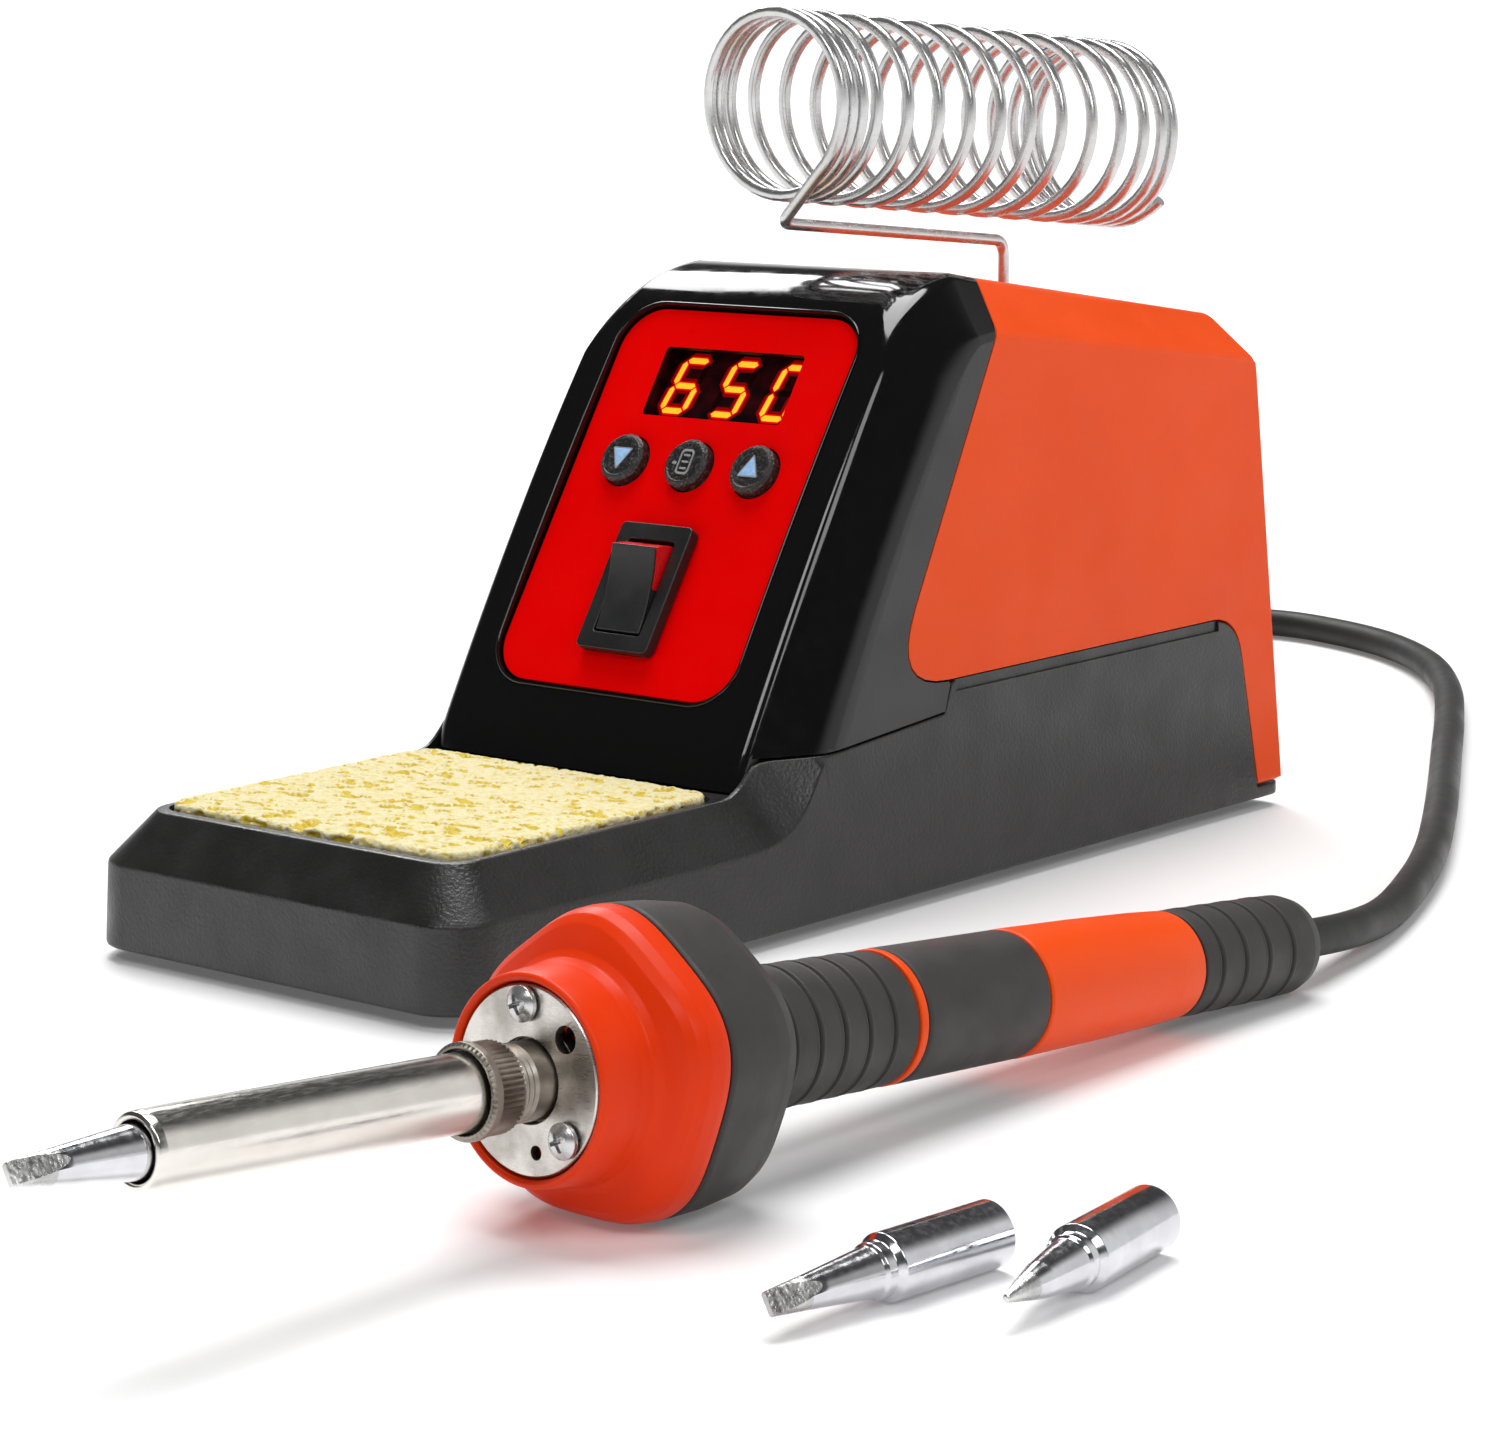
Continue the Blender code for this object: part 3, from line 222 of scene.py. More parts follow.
def make_rubbers():
    Finish("rubber", (0.03, 0.0285, 0.027), 0.6).bump((0.5, 3), 0.03).vary("Roughness", (7, 3), 0.5, 0.68)
    Finish("button_rubber", (0.012, 0.012, 0.012), 0.4).bump((0.45, 2), 0.2).tint(
        (0.45, 2), (0.008, 0.008, 0.008), (0.09, 0.085, 0.083), 0.52, 0.74)
    Finish("cord_rubber", (0.018, 0.0172, 0.0165), 0.5, specular=0.35).bump((0.8, 3), 0.03).vary(
        "Roughness", (12, 3), 0.42, 0.6)
    long_cells = (1, 1.5, 1)
    # cellulose_pit, a darker, deeper yellow, goes on the pitted faces of the sponge: painted shade in the pits.
    for name, pale, deep in (
            ("cellulose", (0.79, 0.72, 0.44), (0.73, 0.60, 0.20)),
            ("cellulose_pit", (0.70, 0.54, 0.06), (0.63, 0.42, 0.02))):
        sponge = Finish(name, pale, 0.95, Sheen_Weight=0.2)
        sponge.tint((1.4, 6, long_cells), pale, deep, 0.46, 0.64)
        sponge.bump(sponge.cells(0.9, long_cells), 0.16).bump((0.45, 4), 0.14)


def make_metals():
    worn_metal("bright_zinc", (0.66, 0.66, 0.66), (0.58, 0.58, 0.58), 0.23, (1, 1, 1), 1.5, 0.0004, 0.85)
    worn_metal("steel", (0.80, 0.77, 0.72), (0.74, 0.71, 0.66), 0.19, (6, 1, 6), 2, 0.0006)
    worn_metal("plate_steel", (0.72, 0.69, 0.65), (0.40, 0.375, 0.34), 0.30, (1, 1, 12), 1.2, 0.006)
    worn_metal("dark_steel", (0.42, 0.385, 0.34), (0.22, 0.19, 0.16), 0.40)
    worn_metal("tip_plating", (0.74, 0.74, 0.77), (0.62, 0.62, 0.65), 0.15, (1, 1, 1), 0.8, 0.0012)
    worn_metal("lamination", (0.3, 0.3, 0.31), (0.18, 0.18, 0.19), 0.5, (1, 40, 1), 1)
    worn_metal("copper", (0.72, 0.30, 0.10), (0.5, 0.2, 0.07), 0.3, (1, 1, 30), 1)
    worn_metal("tin", (0.72, 0.72, 0.71), (0.45, 0.45, 0.44), 0.28).bump((0.7, 3), 0.07)


def make_display_lights():
    for name, glow, strength in (
            ("display_lit", (1, 0.50, 0.022), 1),
            ("display_halo", (0.80, 0.001, 0.002), 0.75),
            ("display_haze", (0.22, 0.0004, 0.0015), 0.75),
            # the unlit segments get a faint painted glow, though they give no light
            ("display_unlit", (0.015, 0.0005, 0.001), 0.1)):
        body = tuple(0.4 * c for c in glow)
        Finish(name, body, 0.5, specular=0.05, Emission_Color=(*glow, 1), Emission_Strength=strength).vary(
            "Roughness", (0.8, 2), 0.4, 0.6)


make_plastics()
make_rubbers()
make_metals()
make_display_lights()
SLOT_OF = {row["node"]: row["material_slot"] for row in frame["record"]["subparts"]}
for node, obj in frame["nodes"].items():
    obj.data.materials.clear()
    obj.data.materials.append(FINISH[SLOT_OF[node]])


# ---- shape tools ----
SMOOTH_ANGLE = 40


def mesh_object(name, work, place):
    """A bmesh in mm in place's frame as an object, its normals facing out."""
    bmesh.ops.recalc_face_normals(work, faces=work.faces)
    mesh = bpy.data.meshes.new(name)
    work.to_mesh(mesh)
    work.free()
    mesh.transform(BENCH @ place)
    return add_object(name, mesh)


def piece(name, work, mat, body, place=Matrix(), instead=(), smooth=32):
    """A bmesh in mm as a piece that rides on a body, in place of some CAD nodes."""
    obj = mesh_object(name, work, place)
    obj.data.shade_smooth()
    obj.data.set_sharp_from_angle(angle=radians(smooth))
    obj.data.materials.append(FINISH[mat])
    if body:
        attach(obj, body)
        if instead:
            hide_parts(*instead)
    return obj


def soften(points, radius, steps=3, closed=True):
    """Rounds the corners of a polyline of vectors; radius is one value or one per corner."""
    count = len(points)
    radii = radius if isinstance(radius, (list, tuple)) else [radius] * count
    found = []
    for i, here in enumerate(points):
        r = radii[i]
        if r <= 0 or (not closed and i in (0, count - 1)):
            found.append(here)
            continue
        to_a, to_b = points[i - 1] - here, points[(i + 1) % count] - here
        a, b = to_a.normalized(), to_b.normalized()
        half = a.angle(b, pi) / 2
        if half > 1.53:
            found += [here] * (steps + 1)
            continue
        reach = min(r / tan(half), 0.45 * to_a.length, 0.45 * to_b.length)
        start, end = here + a * reach, here + b * reach
        for k in range(steps + 1):
            t = k / steps
            found.append(start * (1 - t) ** 2 + here * (2 * t * (1 - t)) + end * t ** 2)
    return found


def ring_loft(work, rings, caps="fan", loop=False):
    """Joins rings of points with quads. Caps close the first and the last ring: a fan is one face,
    a strip joins the two halves of the ring straight across."""
    made = [[work.verts.new(p) for p in ring] for ring in rings]
    count = len(made[0])
    pairs = list(zip(made, made[1:])) + ([(made[-1], made[0])] if loop else [])
    for one, two in pairs:
        for k in range(count):
            n = (k + 1) % count
            work.faces.new((one[k], one[n], two[n], two[k]))
    if not loop:
        for ring in (made[0], made[-1]):
            if caps == "fan":
                work.faces.new(ring)
            elif caps == "strip":
                for k in range(count // 2 - 1):
                    work.faces.new((ring[k], ring[k + 1], ring[count - 2 - k], ring[count - 1 - k]))
    bmesh.ops.remove_doubles(work, verts=work.verts, dist=1e-4)
    return work


def spun(profile, sides=96, shape=None, soft=0.15):
    """A bmesh of a profile of (along, radius) turned about Z, its corners softened."""
    on_axis = min(radius for _, radius in profile) <= 0
    points = soften([Vector((radius, along, 0)) for along, radius in profile], soft, closed=not on_axis)
    work = bmesh.new()
    rings = []
    for p in points:
        radius = max(p.x, 0)
        ring = []
        for k in range(sides):
            angle = 2 * pi * k / sides
            r = shape(angle, p.y, radius) if shape else radius
            ring.append(Vector((r * cos(angle), r * sin(angle), p.y)))
        rings.append(ring)
    return ring_loft(work, rings, loop=not on_axis, caps=None)


def turned(name, profile, mat, body, place, node, sides=96, shape=None, soft=0.15, smooth=32):
    """A turned piece in place of one CAD node."""
    return piece(name, spun(profile, sides, shape, soft), mat, body, place, (node,), smooth)


def slab(outline, low, high, edge=0, segments=3):
    """A bmesh of a flat outline extruded along Z, with its top edge rounded."""
    work = bmesh.new()
    face = work.faces.new([work.verts.new((x, y, low)) for x, y in outline])
    grown = bmesh.ops.extrude_face_region(work, geom=[face])
    top = [item for item in grown["geom"] if isinstance(item, bmesh.types.BMVert)]
    bmesh.ops.translate(work, verts=top, vec=(0, 0, high - low))
    if edge:
        edges = [e for e in work.edges if all(v.co.z > high - 1e-6 for v in e.verts)]
        bmesh.ops.bevel(work, geom=edges, offset=edge, segments=segments, profile=0.5, affect="EDGES")
    return work


def block(low, high):
    """A bmesh of a block between two corners, given in any order across X."""
    (x0, y0, z0), (x1, y1, z1) = low, high
    x0, x1 = sorted((x0, x1))
    return slab([(x0, y0), (x1, y0), (x1, y1), (x0, y1)], z0, z1)


def rounded(width, height, radius, centre=(0, 0), steps=8):
    u, v, (x, y) = width / 2, height / 2, centre
    corners = ((x + u - radius, y - v + radius, -90), (x + u - radius, y + v - radius, 0),
        (x - u + radius, y + v - radius, 90), (x - u + radius, y - v + radius, 180))
    return [(cx + radius * cos(radians(start + 90 * k / steps)),
             cy + radius * sin(radians(start + 90 * k / steps)))
            for cx, cy, start in corners for k in range(steps + 1)]


def plate(width, height, radius, centre, low, high, edge=0, segments=3):
    """A bmesh of a flat plate with rounded corners."""
    return slab(rounded(width, height, radius, centre), low, high, edge, segments)


def bezier(points, count):
    """Points along a cubic curve, from its four control points."""
    found = []
    for i in range(count + 1):
        t = i / count
        shares = ((1 - t) ** 3, 3 * t * (1 - t) ** 2, 3 * t * t * (1 - t), t ** 3)
        found.append(tuple(sum(s * p[k] for s, p in zip(shares, points)) for k in (0, 1)))
    return found


def smooth_path(route, spacing):
    """Points every spacing mm on a Catmull-Rom curve through the route."""
    pts = [Vector(p) for p in route]
    pts = [2 * pts[0] - pts[1]] + pts + [2 * pts[-1] - pts[-2]]
    fine = []
    for a, b, c, d in zip(pts, pts[1:], pts[2:], pts[3:]):
        for k in range(24):
            t = k / 24
            fine.append(0.5 * ((2 * b) + (c - a) * t + (2 * a - 5 * b + 4 * c - d) * t * t
                + (3 * b - a - 3 * c + d) * t ** 3))
    fine.append(pts[-2])
    total = sum((q - p).length for p, q in zip(fine, fine[1:]))
    count = max(2, round(total / spacing))
    found, walked, goal = [fine[0]], 0, total / count
    for p, q in zip(fine, fine[1:]):
        step = (q - p).length
        while walked + step >= goal - 1e-9 and len(found) < count:
            found.append(p.lerp(q, (goal - walked) / step))
            goal += total / count
        walked += step
    found.append(fine[-1])
    return found


def tube(path, radius, sides=16):
    """A bmesh tube along a path, its rings carried along without twisting."""
    work = bmesh.new()
    rings = []
    normal = None
    for i, here in enumerate(path):
        ahead = (path[min(i + 1, len(path) - 1)] - path[max(i - 1, 0)]).normalized()
        if normal is None:
            normal = ahead.orthogonal().normalized()
        normal = (normal - ahead * normal.dot(ahead)).normalized()
        side = ahead.cross(normal)
        rings.append([here + (normal * cos(a) + side * sin(a)) * radius
            for a in (2 * pi * k / sides for k in range(sides))])
    return ring_loft(work, rings)


def cut(obj, work, place=Matrix(), operation="DIFFERENCE"):
    """Cuts obj with a closed bmesh and keeps the result in its mesh."""
    tool = mesh_object("cutter", work, place)
    mod = obj.modifiers.new("cut", "BOOLEAN")
    mod.operation, mod.object, mod.solver = operation, tool, "EXACT"
    bake(obj)
    bpy.data.objects.remove(tool)


def bake(obj):
    """Turns obj's modifiers into its mesh."""
    graph = bpy.context.evaluated_depsgraph_get()
    graph.update()
    mesh = bpy.data.meshes.new_from_object(obj.evaluated_get(graph))
    obj.modifiers.clear()
    obj.data = mesh


def finish_edges(obj, width_mm, angle=30, segments=3):
    """Rounds the edges sharper than angle, then evens the shading of the flat faces beside them."""
    if width_mm:
        mod = obj.modifiers.new("edges", "BEVEL")
        mod.width, mod.segments = width_mm * MM, segments
        mod.limit_method, mod.angle_limit = "ANGLE", radians(angle)
        bake(obj)
    obj.data.shade_smooth()
    obj.data.set_sharp_from_angle(angle=radians(SMOOTH_ANGLE))
    obj.modifiers.new("shading", "WEIGHTED_NORMAL").keep_sharp = True
    bake(obj)


def paint(obj, mat, test, place=Matrix()):
    """Gives mat to the faces whose centre and normal, in mm in place's frame, pass the test."""
    obj.data.materials.append(FINISH[mat])
    back = (BENCH @ place).inverted()
    for face in obj.data.polygons:
        if test(back @ face.center, (back.to_3x3() @ face.normal).normalized()):
            face.material_index = len(obj.data.materials) - 1


def filleted(corners, steps=8):
    """A closed outline from (x, y, radius) corners."""
    return [(p.x, p.y) for p in soften([Vector((x, y, 0)) for x, y, _ in corners],
        [r for _, _, r in corners], steps)]


def shift(x=0, y=0, z=0):
    return Matrix.Translation((x, y, z))


# ---- cord ----
CORD_R = 2.7
CORD_Z = CORD_R + 0.3
iron_joint = joints["barrel_nut_turn"]
IRON_AXIS = Vector(iron_joint["axis"]).normalized()
iron_x = Vector((0, 0, 1)).cross(IRON_AXIS).normalized()
IRON = Matrix.Translation(to_bench(iron_joint["pos_m"])) @ Matrix(
    (iron_x, IRON_AXIS.cross(iron_x), IRON_AXIS)).transposed().to_4x4()
_, gland_high, gland_middle = node_box("iron_cord_gland")
CORD_EXIT = Vector((gland_middle.x, gland_high.y, gland_middle.z))
LYING = ((-51, 277), (-68, 294), (-77, 311), (-73, 327), (-57.7, 334), (-40, 331), (-22, 322.5),
    (-4.5, 308), (11.9, 287.6), (28, 262.5), (43, 237.5), (58, 212.5), (73, 187), (85.5, 164.5),
    (95, 144.5))
CORD_ROUTE = [CORD_EXIT - Vector((0, 7.1, 0)), CORD_EXIT + Vector((0, 1.4, 0)), (-15.5, 222, 20.5),
    (-22, 240, 12), (-34, 259, 5.2), *((x, y, CORD_Z) for x, y in LYING), (102.5, 125.5, 3.1),
    (107, 109.5, 4.4), IRON @ Vector((0, 0, -150)), IRON @ Vector((0, 0, -143.5))]


def make_cord():
    path = smooth_path(CORD_ROUTE, 2.5)
    obj = piece("cord", tube(path, CORD_R, 24), "cord_rubber", None)
    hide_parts("iron_cord")
    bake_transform(obj)


make_cord()


# ---- base ----
BASE_Z, SIDE_X0, SIDE_DRAFT = 2, 38.34, 0.0435
TRAY_HALF, CAVITY_HALF = 31, 35.2
REAR_Y0, REAR_DRAFT = 194.3, 0.055
TRAY_TOP, CREASE_Z = 21.5, 14.3
RIM_X, RIM_Y, FRONT_R, RIM_R = 31.6, 6.6, 8.4, 5.2
SHOULDER, SEAM_REAR = (78.2, 26.1), (105.5, 28.3)
FENDER_Z, FENDER_REAR_Y, FENDER_R = 33, 182.3, 8
STRIP_Z = 4


def side_x(z):
    return SIDE_X0 - SIDE_DRAFT * (z - BASE_Z)


def rear_y(z):
    return REAR_Y0 - REAR_DRAFT * (z - BASE_Z)


def base_half(wall, crease, rim, inward):
    """One side's section from the underside to the rim, with rounded crease and rim."""
    (x, y), (nx, ny) = wall, inward
    crease, rim = Vector(crease), Vector(rim)
    inside = rim + Vector((1.6 * nx, 1.6 * ny, 0))
    path = [Vector((x + 2 * nx, y + 2 * ny, BASE_Z)), Vector((x, y, BASE_Z)), crease, rim, inside]
    return soften(path, [0, 0.7, 1.1, 0.8, 0], 4, closed=False)


def base_rings():
    halves = []
    steps = 14
    for k in range(steps + 1):
        a = pi / 2 * k / steps
        s, c = sin(a), cos(a)
        wall = (SIDE_X0 - FRONT_R * (1 - s), FRONT_R * (1 - c))
        crease = (side_x(CREASE_Z) - (FRONT_R - 0.2) * (1 - s), 0.7 + (FRONT_R - 0.2) * (1 - c), CREASE_Z)
        rim = (RIM_X - RIM_R * (1 - s), RIM_Y + RIM_R * (1 - c), TRAY_TOP)
        halves.append(base_half(wall, crease, rim, (-s, c)))
    rows = [((RIM_X, y, TRAY_TOP), (y, CREASE_Z)) for y in (20, 35, 50, 58)]
    rim_path = smooth_path([(RIM_X, 59.5, TRAY_TOP), (RIM_X, 61.5, 21.55), (RIM_X, 63.5, 22),
        (RIM_X, 65.2, 23), (RIM_X, 66.7, 24.4), (31.8, 68, 25.5), (32.6, 70, 26), (34.4, 73, 26.05),
        (36.3, 76.4, 26.1)], 1.1)
    fold_path = smooth_path([(0, 59.5, 14.35), (0, 63, 14.6), (0, 66.5, 15.3), (0, 69.5, 16.6),
        (0, 72, 18.4), (0, 74, 20.6), (0, 75.6, 22.9), (0, 77.2, 25.1)], 0.2)
    for i, rim in enumerate(rim_path):
        fold = fold_path[round(i / (len(rim_path) - 1) * (len(fold_path) - 1))]
        rows.append((tuple(rim), (fold.y, fold.z)))
    for rim, (yc, zc) in rows:
        halves.append(base_half((SIDE_X0, yc), (side_x(zc), yc, zc), rim, (-1, 0)))
    corners = [SHOULDER, SEAM_REAR, (107.6, FENDER_Z), (FENDER_REAR_Y, FENDER_Z), (186.7, STRIP_Z),
               (191.3, STRIP_Z)]
    radii = [0, 1, 1.2, FENDER_R, 0.3, 0]
    fender = soften([Vector((y, z, 0)) for y, z in corners], radii, 8, closed=False)
    for p in fender:
        y, z = p.x, p.y
        wall = Vector((side_x(z), y, z))
        path = [Vector((SIDE_X0 - 2, y, BASE_Z)), Vector((SIDE_X0, y, BASE_Z)),
            wall.lerp(Vector((SIDE_X0, y, BASE_Z)), 0.4), wall, wall - Vector((1.6, 0, 0))]
        halves.append(soften(path, [0, 0.7, 0.2, 0.5, 0], 4, closed=False))
    for y, dx in ((192.4, 0.35), (193.4, 1), (194.1, 1.9), (194.3, 3)):
        wall = Vector((SIDE_X0 - dx, y, STRIP_Z))
        path = [Vector((SIDE_X0 - dx - 2, y, BASE_Z)), Vector((SIDE_X0 - dx, y, BASE_Z)),
            Vector((SIDE_X0 - dx, y, BASE_Z + 1.2)), wall, wall - Vector((1.6, 0, 0))]
        halves.append(soften(path, [0, 0.5, 0.2, 0.3, 0], 4, closed=False))
    return [half + [Vector((-p.x, p.y, p.z)) for p in reversed(half)] for half in halves]


def make_base():
    work = ring_loft(bmesh.new(), base_rings(), caps="strip")
    obj = piece("base", work, "black_abs", "station", instead=("base_shell",), smooth=28)
    half = [(TRAY_HALF, 72), (TRAY_HALF, 79), (CAVITY_HALF, 80.5), (CAVITY_HALF, 191.6)]
    other = [(-x, y) for x, y in reversed(half)]
    cut(obj, slab([other[-1], *half, *other[:-1]], -1, 60))
    cut(obj, plate(70.4, 77.4, 5.5, (0, 42.3), -1, 11.4))
    cut(obj, block((-TRAY_HALF, 60.4, TRAY_TOP - 0.05), (TRAY_HALF, 80, 40)))
    cut(obj, plate(61, 54.2, 4.6, (0, 35.3), 13.4, 30))
    for side in (-1, 1):
        cut(obj, block((side * (side_x(32) - 0.45), 108.4, 31.3), (side * 45, 177, 34)))
    finish_edges(obj, 0)


make_base()


# ---- front cover and rear housing ----
FACE_CENTRE = [((65.6, 25), (75.9, 44.2), (90.5, 67), (104.2, 86.9)),
    ((104.2, 86.9), (106.5, 90.2), (112.5, 93.6), (121.5, 92.8))]
FACE_EDGE = [((66, 25), (76.5, 44.5), (88.5, 64.8), (99, 79.4)),
    ((99, 79.4), (104.5, 86.3), (112, 91.6), (121.5, 92.8))]
FACE_SIDE = [((77.8, 25), (87, 45), (98.5, 63), (109, 77.5)),
    ((109, 77.5), (112, 81), (114.5, 82.8), (117.5, 83.6))]
RIDGE_FRONT, RIDGE_SLOPE, RIDGE_X = (127.8, 91.7), -0.164, 26
SHOULDER_LINE, SHOULDER_SLOPE = (121.9, 84.1), -0.142
WALL, GAP = 3, 0.3
EDGE_ROLL = 1.5
SIDE_ROLL_TOP, SIDE_ROLL_LOW = 1.1, 3.2
SIDEWAYS = Matrix(((0, 0, 1, 0), (1, 0, 0, 0), (0, 1, 0, 0), (0, 0, 0, 1)))
REARWARD = Matrix.Rotation(-pi / 2, 4, "X")
HOUSING_LINE = [(135.6, 101.7, 0), (*RIDGE_FRONT, 0), (*SHOULDER_LINE, 0), (92.9, 33.3, 8),
    (FENDER_REAR_Y, 33.3, FENDER_R), (187, STRIP_Z + GAP, 0), (205, STRIP_Z + GAP, 0), (205, 101.7, 0)]

panel_low = to_bench(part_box("label_panel")[0])
press_axis = joints["button_up_press"]["axis"]
LABEL_TILT = atan2(press_axis[1], -press_axis[2])
PANEL = 0.9
LABEL = shift(0, panel_low.y, panel_low.z + PANEL * cos(LABEL_TILT)) @ Matrix.Rotation(LABEL_TILT, 4, "X")
LABEL_W, LABEL_H, LABEL_R = 47.6, 63.7, 7
WINDOW_W, WINDOW_H, WINDOW_V = 28, 11.8, 51.4
MODULE_W, MODULE_H, MODULE_V = 30, 14, 51.7
BUTTON_V, BUTTON_PITCH, BUTTON_R, BUTTON_TOP = 37.4, 13.2, 4.05, 1.9
SWITCH_V, SWITCH_W, SWITCH_H = 16.2, 14.4, 21
WELL_W, WELL_H = 9.4, 15.6
OPENING_W, OPENING_H = 13.4, 19.4
ROCKER_R, ROCKER_W, PIVOT_H, ROCKER_TILT = 7.4, 8.8, 0.04, radians(15)


def offset(outline, distances):
    """A closed outline moved inwards, by one distance for each point."""
    count = len(outline)
    area = sum(outline[i - 1][0] * outline[i][1] - outline[i][0] * outline[i - 1][1] for i in range(count))
    sign = 1 if area > 0 else -1
    found = []
    for i, distance in enumerate(distances):
        a, b, c = (Vector(outline[i - 1]), Vector(outline[i]), Vector(outline[(i + 1) % count]))
        n1 = Vector((-(b - a).y, (b - a).x)).normalized() * sign
        n2 = Vector((-(c - b).y, (c - b).x)).normalized() * sign
        n = (n1 + n2).normalized()
        found.append(tuple(b + n * (distance / max(0.35, n.dot(n1)))))
    return found


def envelope_lines():
    """Rows up the front, over the top and down the rear. Each has a point on the centre line, on
    the edge and on the side, and the width of the roll into the side."""
    rows = [((25.5, y, z), (30.6, y + 0.4, z), (side_x(z), y + 13, z), SIDE_ROLL_LOW)
            for y, z in ((59.2, STRIP_Z), (62.9, 17))]
    for part, count in ((0, 26), (1, 18)):
        middle, edge, side = (bezier(curve[part], count) for curve in (FACE_CENTRE, FACE_EDGE, FACE_SIDE))
        for i in range(part, count + 1):
            t = i / count
            xc, xe, low = (25.5 - 4.5 * t, 30.2 - 3.6 * t, 1 - t) if part else (25.5, 30.5 - 0.3 * t, 1)
            rows.append(((xc, *middle[i]), (xe, *edge[i]), (side_x(side[i][1]), *side[i]),
                SIDE_ROLL_TOP + (SIDE_ROLL_LOW - SIDE_ROLL_TOP) * low))
    top_y, low_y, foot = rear_y(81.5), rear_y(74.5), (rear_y(STRIP_Z + GAP), STRIP_Z + GAP)
    top = (top_y, RIDGE_FRONT[1] + RIDGE_SLOPE * (top_y - RIDGE_FRONT[0]))
    wall = (low_y, SHOULDER_LINE[1] + SHOULDER_SLOPE * (low_y - SHOULDER_LINE[0]))
    for x, ridge, shoulder in (
            (RIDGE_X, RIDGE_FRONT, SHOULDER_LINE), (RIDGE_X, top, wall), (30, foot, foot)):
        rows.append(((20, *ridge), (x, *ridge), (side_x(shoulder[1]), *shoulder), SIDE_ROLL_TOP))
    return rows


def inset_line(line, distance, narrower):
    moved = offset([(y, z) for _, y, z in line], [distance] * len(line))
    return [(x - narrower, y, z) for (x, _, _), (y, z) in zip(line, moved)]


def rolled(before, corner, after, width, steps=5):
    """Points round a corner, from width before it to width after it."""
    start = corner + (before - corner).normalized() * min(width, 0.8 * (before - corner).length)
    end = corner + (after - corner).normalized() * min(width, 0.8 * (after - corner).length)
    return [start * (1 - t) ** 2 + corner * 2 * t * (1 - t) + end * t * t
        for t in (k / steps for k in range(steps + 1))]


def envelope(inset=0):
    """The closed outer form of the station above the tray; inset gives the room inside its walls."""
    centre, edge, side, rolls = zip(*envelope_lines())
    if inset:
        narrower = (0, 0.8, inset)
        lines = [inset_line(line, inset, extra) for line, extra in zip((centre, edge, side), narrower)]
        lines = [[Vector((x, y, z if 0 < i < len(line) - 1 else z - 6))
                  for i, (x, y, z) in enumerate(line)] for line in lines]
    else:
        walls = offset([(y, z) for _, y, z in side], [2 * roll for roll in rolls])
        rows = []
        for c, e, s, (wall_y, wall_z), roll in zip(centre, edge, side, walls, rolls):
            c, e, s = Vector(c), Vector(e), Vector(s)
            wall = Vector((side_x(wall_z), wall_y, wall_z))
            rows.append([c, *rolled(c, e, s, EDGE_ROLL), *rolled(e, s, wall, roll)])
        lines = list(zip(*rows))
    work = bmesh.new()
    made = {sign: [[work.verts.new((sign * p.x, p.y, p.z)) for p in line] for line in lines]
        for sign in (1, -1)}
    count = len(lines[0])
    for i in range(count):
        n = (i + 1) % count
        for half in made.values():
            for one, two in zip(half, half[1:]):
                work.faces.new((one[i], two[i], two[n], one[n]))
        work.faces.new((made[1][0][i], made[1][0][n], made[-1][0][n], made[-1][0][i]))
    for half in made.values():
        work.faces.new(half[-1])
    bmesh.ops.recalc_face_normals(work, faces=work.faces)
    if not inset:
        corners = [e for e in work.edges if e.calc_face_angle(0) > radians(38)]
        bmesh.ops.bevel(work, geom=corners, offset=1.2, segments=4, profile=0.5, affect="EDGES")
    return work


def disc(radius, low, high, sides=64):
    return slab([(radius * cos(2 * pi * k / sides), radius * sin(2 * pi * k / sides))
        for k in range(sides)], low, high)


def cut_openings(obj, display, button_r, low, high):
    """Cuts the openings for the display, the switch and the three buttons in a part of the face."""
    cut(obj, plate(*display, low, high), LABEL)
    cut(obj, plate(OPENING_W, OPENING_H, 0.8, (0, SWITCH_V), low, high), LABEL)
    for k in (-1, 0, 1):
        cut(obj, disc(button_r, low, high), LABEL @ shift(k * BUTTON_PITCH, BUTTON_V))


def make_housing():
    obj = piece("housing", envelope(), "orange_abs", "station", instead=("rear_housing",))
    cut(obj, slab(filleted(HOUSING_LINE), -50, 50), SIDEWAYS, "INTERSECT")
    cut(obj, envelope(WALL))
    cut(obj, disc(3.3, 60, 95), shift(0, node_box("holder_socket")[2].y))
    for node in ("mains_gland", "iron_cord_gland"):
        middle = node_box(node)[2]
        cut(obj, disc(5.3, 180, 200), shift(middle.x, 0, middle.z) @ REARWARD)
    finish_edges(obj, 0.3, 50, 2)


